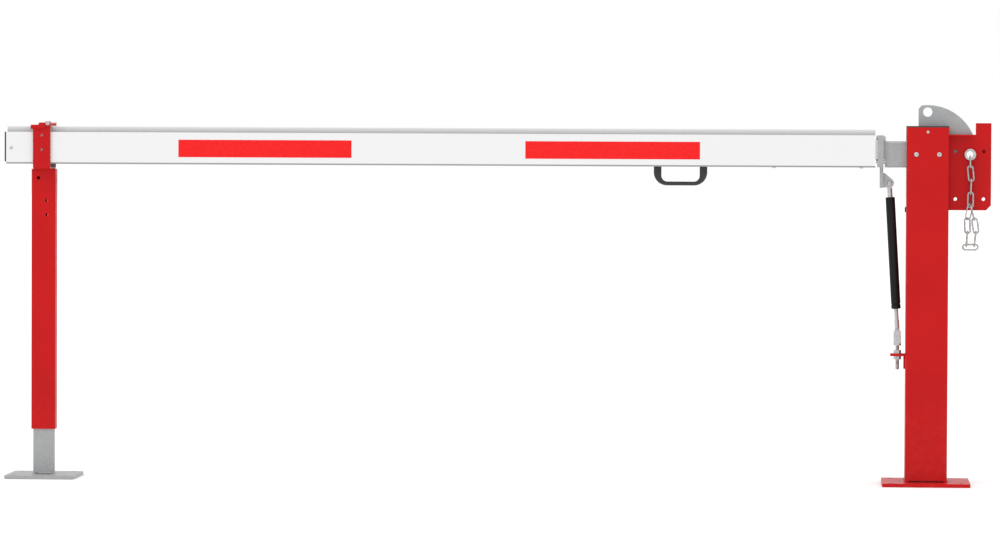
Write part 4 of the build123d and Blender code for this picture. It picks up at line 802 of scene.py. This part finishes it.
@dataclass
class Leg:
    """The telescopic support leg with its fork, pad, flap and foot."""

    wardrobe: Wardrobe

    bead: float = 0.0028
    foot_weld_inset: float = 0.003
    wire: float = 0.001
    grip: tuple[Run, ...] = (
        (0.004, 24.0, 0.006), (0.002, -48.0, 0.004), (0.002, 24.0, 0.006),
        (0.001, -22.0, 0.006), (0.002, 0.0, 0.0),
    )
    lobes: int = 8
    lobe_pull: float = 0.9
    lobe_share: float = 0.55
    rim_start: float = 0.6
    neck: float = 0.0042
    knob_gap: float = 0.004
    knob_hub: float = 0.62
    knob_bevel: float = 0.93
    knob_sides: int = 96

    def build(self) -> None:
        """Build and dress the leg."""
        self.dress()
        self.welds()
        self.hairpin()
        self.knob()

    def welds(self) -> None:
        """Weld the fork to the leg and the leg to its foot."""
        low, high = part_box("leg_outer_tube")
        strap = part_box("fork_strap")
        for name, y in (("front", low.y), ("rear", high.y)):
            start, end = (strap[0].x, y, high.z), (strap[1].x, y, high.z)
            bead = Bench.weld(f"fork_weld_{name}", start, end, self.bead)
            self.wardrobe.hand_over(bead, RED_PAINT, "leg_outer", "post_frame")
        low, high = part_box("leg_inner_tube")
        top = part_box("foot_plate")[1].z
        for name, x in (("left", low.x), ("right", high.x)):
            start = (x, low.y + self.foot_weld_inset, top)
            end = (x, high.y - self.foot_weld_inset, top)
            bead = Bench.weld(f"foot_weld_{name}", start, end, self.bead)
            self.wardrobe.hand_over(bead, HOT_DIP, "leg_inner", "leg_foot")

    def hairpin(self) -> None:
        """Bend the spring clip: a straight leg, a full bow and a waved leg that grips the pin."""
        low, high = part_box("spring_clip")
        bow = (high.y - low.y) / 2 - self.wire
        straight = high.x - low.x - self.wire - bow
        start = (low.x, low.y + self.wire, (low.z + high.z) / 2)
        clip = Bench.wire(self.wire, start, ((straight, 180.0, bow), *self.grip))
        Bench.settle(clip, "hairpin_clip", 50.0)
        self.wardrobe.hand_over(clip, PLATED, "clip", "clip", "spring_clip")

    def knob(self) -> None:
        """Model the clamp screw with a lobed knob and a bare shank."""
        low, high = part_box("leg_clamp_screw")
        radius = (high.x - low.x) / 2
        bevel = radius * self.knob_bevel
        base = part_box("leg_outer_tube")[1].y + self.knob_gap
        body = Bench.turned(
            (
                (low.y, self.neck), (base, self.neck), (base, radius * self.knob_hub),
                (base + 0.0015, bevel), (base + 0.003, radius), (high.y - 0.002, radius),
                (high.y - 0.0006, bevel), (high.y, radius * 0.8), (high.y, radius * 0.45),
                (high.y - 0.0012, radius * 0.4),
            ),
            self.knob_sides,
        )
        hollow = cos(pi / self.lobes * self.lobe_share)
        Bench.take(body)
        for index in range(self.lobes):
            angle = 2 * pi * index / self.lobes
            bpy.ops.object.mode_set(mode="EDIT")
            bpy.ops.mesh.select_mode(type="VERT")
            bpy.ops.mesh.select_all(action="DESELECT")
            work = bmesh.from_edit_mesh(body.data)
            way = Vector((cos(angle), sin(angle), 0.0))
            for vert in work.verts:
                flat = Vector((vert.co.x, vert.co.y, 0.0))
                on_rim = flat.length > radius * self.rim_start
                vert.select_set(on_rim and flat.normalized().dot(way) > hollow)
            bmesh.update_edit_mesh(body.data)
            pull = (self.lobe_pull, self.lobe_pull, 1.0)
            bpy.ops.transform.resize(value=pull, center_override=(0.0, 0.0, 0.0))
            bpy.ops.object.mode_set(mode="OBJECT")
        middle = ((low.x + high.x) / 2, 0.0, (low.z + high.z) / 2)
        Bench.lay(body, middle, Vector((0.0, 1.0, 0.0)))
        Bench.settle(body, "clamp_knob", 30.0)
        self.wardrobe.hand_over(
            body, BLACK_PLASTIC, "clamp_screw", "post_frame", "leg_clamp_screw"
        )

    def dress(self) -> None:
        """Give the leg's CAD nodes their finishes."""
        finishes = {
            RED_PAINT: ("leg_outer_tube", "flap_hinge_lugs", "latch_flap", "fork_strap"),
            HOT_DIP: ("leg_inner_tube", "foot_plate"),
            RUBBER: ("rest_pad",),
            PLATED: ("leg_clamp_screw", "flap_hinge_pin", "latch_pin", "spring_clip"),
        }
        self.wardrobe.dress_nodes(finishes)


@dataclass
class Boom:
    """The boom with its arm, quadrant, flange, extrusion, tapes and handle."""

    wardrobe: Wardrobe

    bead: float = 0.003
    weld_inset: float = 0.006

    def build(self) -> None:
        """Build and dress the boom."""
        self.dress()
        self.arm_weld()

    def arm_weld(self) -> None:
        """Weld the arm to its spacer plate along the top."""
        low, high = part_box("arm_tube")
        start = (low.x, low.y + self.weld_inset, high.z)
        end = (low.x, high.y - self.weld_inset, high.z)
        bead = Bench.weld("arm_weld", start, end, self.bead)
        self.wardrobe.hand_over(bead, HOT_DIP, "arm", "boom")

    def dress(self) -> None:
        """Give the boom's CAD nodes their finishes."""
        finishes = {
            GROUND_SHAFT: ("pivot_shaft",),
            HOT_DIP: (
                "shaft_collar_front", "shaft_collar_rear", "arm_tube", "lock_quadrant",
                "spacer_plate", "hanger_plate", "boom_flange",
            ),
            BRIGHT_DIP: ("strut_ears",),
            PLATED: (
                "flange_bolts", "insert_screws", "end_cap_screws", "handle_screws", "strut_top_bolt",
            ),
            MILL_ALUMINIUM: ("boom_insert",),
            WHITE_PROFILE: ("boom_profile",),
            GREY_PLASTIC: ("boom_end_cap",),
            BLACK_PLASTIC: ("lift_handle",),
            RED_FILM: ("reflective_tapes",),
        }
        self.wardrobe.dress_nodes(finishes)


@dataclass
class Strut:
    """The gas strut."""

    wardrobe: Wardrobe

    foot: Point = (-0.0825, 0.0, 0.431)
    head: Point = (-0.108, 0.0, 0.863)
    low: float = 0.072
    high: float = 0.392
    radius: float = 0.0135
    rod: float = 0.00605
    roll: float = 0.0022
    lip: float = 0.0006
    groove: float = 0.0014
    groove_place: float = 0.012
    groove_length: float = 0.0038
    flank: float = 0.0012
    closed_end: float = 0.0072
    sides: int = 64

    def build(self) -> None:
        """Build and dress the strut."""
        self.wardrobe.dress_node("strut_rod", POLISHED)
        self.wardrobe.dress_node("strut_cylinder", BLACK_ENAMEL)
        self.wardrobe.dress_node("strut_top_eye", PLATED)
        self.barrel()

    def barrel(self) -> None:
        """Turn the barrel: a rolled gland end, a pressed groove and a crimped closed end."""
        r, low, high, lip = self.radius, self.low, self.high, self.lip
        floor = r - self.groove
        start = low + self.groove_place
        end = start + self.groove_length
        barrel = Bench.turned(
            (
                (low + lip, self.rod + lip), (low + lip, self.rod + 0.002),
                (low, self.rod + 0.0026), (low, r - self.roll), (low + lip, r - 0.0008),
                (low + self.roll, r), (start, r), (start + self.flank, floor),
                (end - self.flank, floor), (end, r), (high - self.roll, r),
                (high - lip, r - 0.0008), (high, r - self.roll), (high, self.closed_end),
            ),
            self.sides,
        )
        Bench.lay(barrel, self.foot, Vector(self.head) - Vector(self.foot))
        Bench.settle(barrel, "strut_barrel", 32.0)
        body = node = "strut_cylinder"
        self.wardrobe.hand_over(barrel, BLACK_ENAMEL, "cylinder", body, node)


class Closing(Enum):
    """How a link's wire is closed, as the swelling of the wire at the seam."""

    WELDED = 1.18
    FORGED = 1.0


@dataclass
class Chain:
    """The padlock chain that hangs from the lock bush."""

    wardrobe: Wardrobe

    touching: float = 0.00001
    lean: Point = (1.0, 0.37, 0.19)
    bend_sides: int = 28
    wire_sides: int = 12
    seam: float = 0.0012
    seam_flank: float = 0.0022
    seam_reach: float = 0.0015

    def build(self) -> None:
        """Build and dress the chain."""
        for node, body, slot, closing in (
            ("chain_upper_links", "chain_upper", "chain", Closing.WELDED),
            ("chain_loop_links", "chain_loop", "chain", Closing.WELDED),
            ("chain_shackle", "chain_loop", "shackle", Closing.FORGED),
        ):
            links = [self.link(island, closing) for island in self.islands(node)]
            run = Bench.settle(Bench.join(links), f"welded_{node}", 60.0)
            self.wardrobe.hand_over(run, CHAIN_ZINC, slot, body, node)

    def islands(self, node: str) -> list[np.ndarray]:
        """The corner points of each separate link of a CAD node.

        Args:
            node: The CAD node's name.

        Returns:
            One array of points for each link, in an order that is the same each run.
        """
        work = bmesh.new()
        work.from_mesh(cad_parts[node].data)
        bmesh.ops.remove_doubles(work, verts=work.verts, dist=self.touching)
        left = set(work.verts)
        found = []
        while left:
            front = [left.pop()]
            island = []
            while front:
                vert = front.pop()
                island.append(tuple(vert.co))
                for edge in vert.link_edges:
                    other = edge.other_vert(vert)
                    if other in left:
                        left.discard(other)
                        front.append(other)
            found.append(np.array(sorted(island)))
        work.free()
        return sorted(found, key=lambda points: (-points[:, 2].max(), *points[0]))

    def link(self, points: np.ndarray, closing: Closing) -> bpy.types.Object:
        """Model one link where a CAD link lies.

        Args:
            points: The CAD link's points.
            closing: How its wire is closed.

        Returns:
            The link, in place.
        """
        away = points - points.mean(0)
        _, _, axes = np.linalg.svd(away, full_matrices=False)
        # An axis can come out either way round, so each one is turned to the same side.
        axes = [axis * np.sign(axis @ self.lean) for axis in axes]
        reach = [float(np.ptp(away @ axis)) for axis in axes]
        middle = points.mean(0) + sum(
            axis * float(((away @ axis).max() + (away @ axis).min()) / 2) for axis in axes
        )
        length, width, wire = reach
        Bench.clear()
        bpy.ops.mesh.primitive_torus_add(
            major_segments=self.bend_sides, minor_segments=self.wire_sides,
            major_radius=(width - wire) / 2, minor_radius=wire / 2, location=(0.0, 0.0, 0.0),
        )
        ring = bpy.context.object
        half = (length - width) / 2
        for side in (-1.0, 1.0):
            bpy.ops.object.mode_set(mode="EDIT")
            bpy.ops.mesh.select_mode(type="VERT")
            bpy.ops.mesh.select_all(action="DESELECT")
            work = bmesh.from_edit_mesh(ring.data)
            for vert in work.verts:
                vert.select_set(vert.co.x * side > self.touching)
            bmesh.update_edit_mesh(ring.data)
            bpy.ops.transform.translate(value=(half * side, 0.0, 0.0))
            bpy.ops.object.mode_set(mode="OBJECT")
        for cut in (-self.seam_flank, -self.seam, self.seam, self.seam_flank):
            bpy.ops.object.mode_set(mode="EDIT")
            bpy.ops.mesh.select_all(action="SELECT")
            bpy.ops.mesh.bisect(plane_co=(cut, 0.0, 0.0), plane_no=(1.0, 0.0, 0.0))
            bpy.ops.object.mode_set(mode="OBJECT")
        bpy.ops.object.mode_set(mode="EDIT")
        bpy.ops.mesh.select_all(action="DESELECT")
        work = bmesh.from_edit_mesh(ring.data)
        for vert in work.verts:
            vert.select_set(abs(vert.co.x) < self.seam_reach and vert.co.y > 0.0)
        bmesh.update_edit_mesh(ring.data)
        swell = (1.0, closing.value, closing.value)
        bpy.ops.transform.resize(value=swell, center_override=(0.0, (width - wire) / 2, 0.0))
        bpy.ops.object.mode_set(mode="OBJECT")
        turn = Matrix((axes[0], axes[1], np.cross(axes[0], axes[1]))).transposed()
        ring.matrix_world = Matrix.Translation(Vector(middle)) @ turn.to_4x4()
        Bench.take(ring)
        bpy.ops.object.transform_apply(location=True, rotation=True, scale=True)
        return ring


# ---- studio -------------------------------------------------------------------------------------


@dataclass
class Studio:
    """A pale floor, soft light and the camera."""

    eye: Point = (-0.312, -14.087, 1.0115)
    pitch: float = 0.02880
    yaw: float = 0.06458
    roll: float = 0.0060
    lens: float = 176.7
    sensor: float = 36.0
    sight: float = 300.0
    floor_half: float = 60.0
    floor_drop: float = 0.0005
    floor_paint: Colour = (0.92, 0.92, 0.92)

    def build(self) -> None:
        """Make the floor, light and camera."""
        self.floor()
        self.light()
        self.camera()

    def floor(self) -> None:
        """Lay a large plain floor just under the plates."""
        Bench.clear()
        place = (0.0, 0.0, -self.floor_drop)
        bpy.ops.mesh.primitive_plane_add(size=2 * self.floor_half, location=place)
        ground = bpy.context.object
        ground.name = "floor"
        g = Graph("pale_floor")
        g.constant("Base Color", self.floor_paint)
        g.constant("Roughness", 0.9)
        g.constant("Specular IOR Level", 0.1)
        ground.data.materials.append(g.material)

    def sun(self, name: str, aim: Point, strength: float, spread: float) -> None:
        """Add one soft sun lamp, whose light falls evenly over the whole barrier.

        Args:
            name: The lamp's name.
            aim: The direction its light travels.
            strength: Its irradiance.
            spread: Its angular size in degrees.
        """
        lamp = bpy.data.lights.new(name, "SUN")
        lamp.energy = strength
        lamp.angle = radians(spread)
        holder = bpy.data.objects.new(name, lamp)
        bpy.context.scene.collection.objects.link(holder)
        holder.rotation_euler = Vector(aim).to_track_quat("-Z", "Y").to_euler()

    def light(self) -> None:
        """Light the scene evenly, with a little more from above and the upper left front."""
        world = bpy.data.worlds.new("studio")
        world.use_nodes = True
        sky = next(n for n in world.node_tree.nodes if n.type == "BACKGROUND")
        sky.inputs["Color"].default_value = (1.0, 1.0, 1.0, 1.0)
        sky.inputs["Strength"].default_value = 1.0
        bpy.context.scene.world = world
        self.sun("key", aim=(0.55, 0.6, -0.75), strength=0.45, spread=25.0)
        self.sun("top", aim=(-0.1, 0.15, -1.0), strength=0.6, spread=40.0)
        bpy.context.scene.view_settings.view_transform = "Standard"

    def camera(self) -> None:
        """Stand the camera far off, about level with the boom."""
        lens = bpy.data.cameras.new("camera")
        lens.sensor_width = self.sensor
        lens.lens = self.lens
        lens.clip_end = self.sight
        holder = bpy.data.objects.new("camera", lens)
        bpy.context.scene.collection.objects.link(holder)
        turn = (
            Matrix.Rotation(pi / 2 - self.pitch, 4, "X")
            @ Matrix.Rotation(self.yaw, 4, "Y")
            @ Matrix.Rotation(self.roll, 4, "Z")
        )
        holder.matrix_world = Matrix.Translation(self.eye) @ turn
        bpy.context.scene.camera = holder


def main() -> None:
    """Build the barrier piece by piece, then the studio around it."""
    logging.basicConfig(level=logging.INFO, format="%(name)s: %(message)s")
    wardrobe = Wardrobe()
    for assembly in (Post, Boom, Strut, Leg, Chain):
        log.info("building %s", assembly.__name__)
        assembly(wardrobe).build()
    Studio().build()


if __name__ == "__main__":
    main()
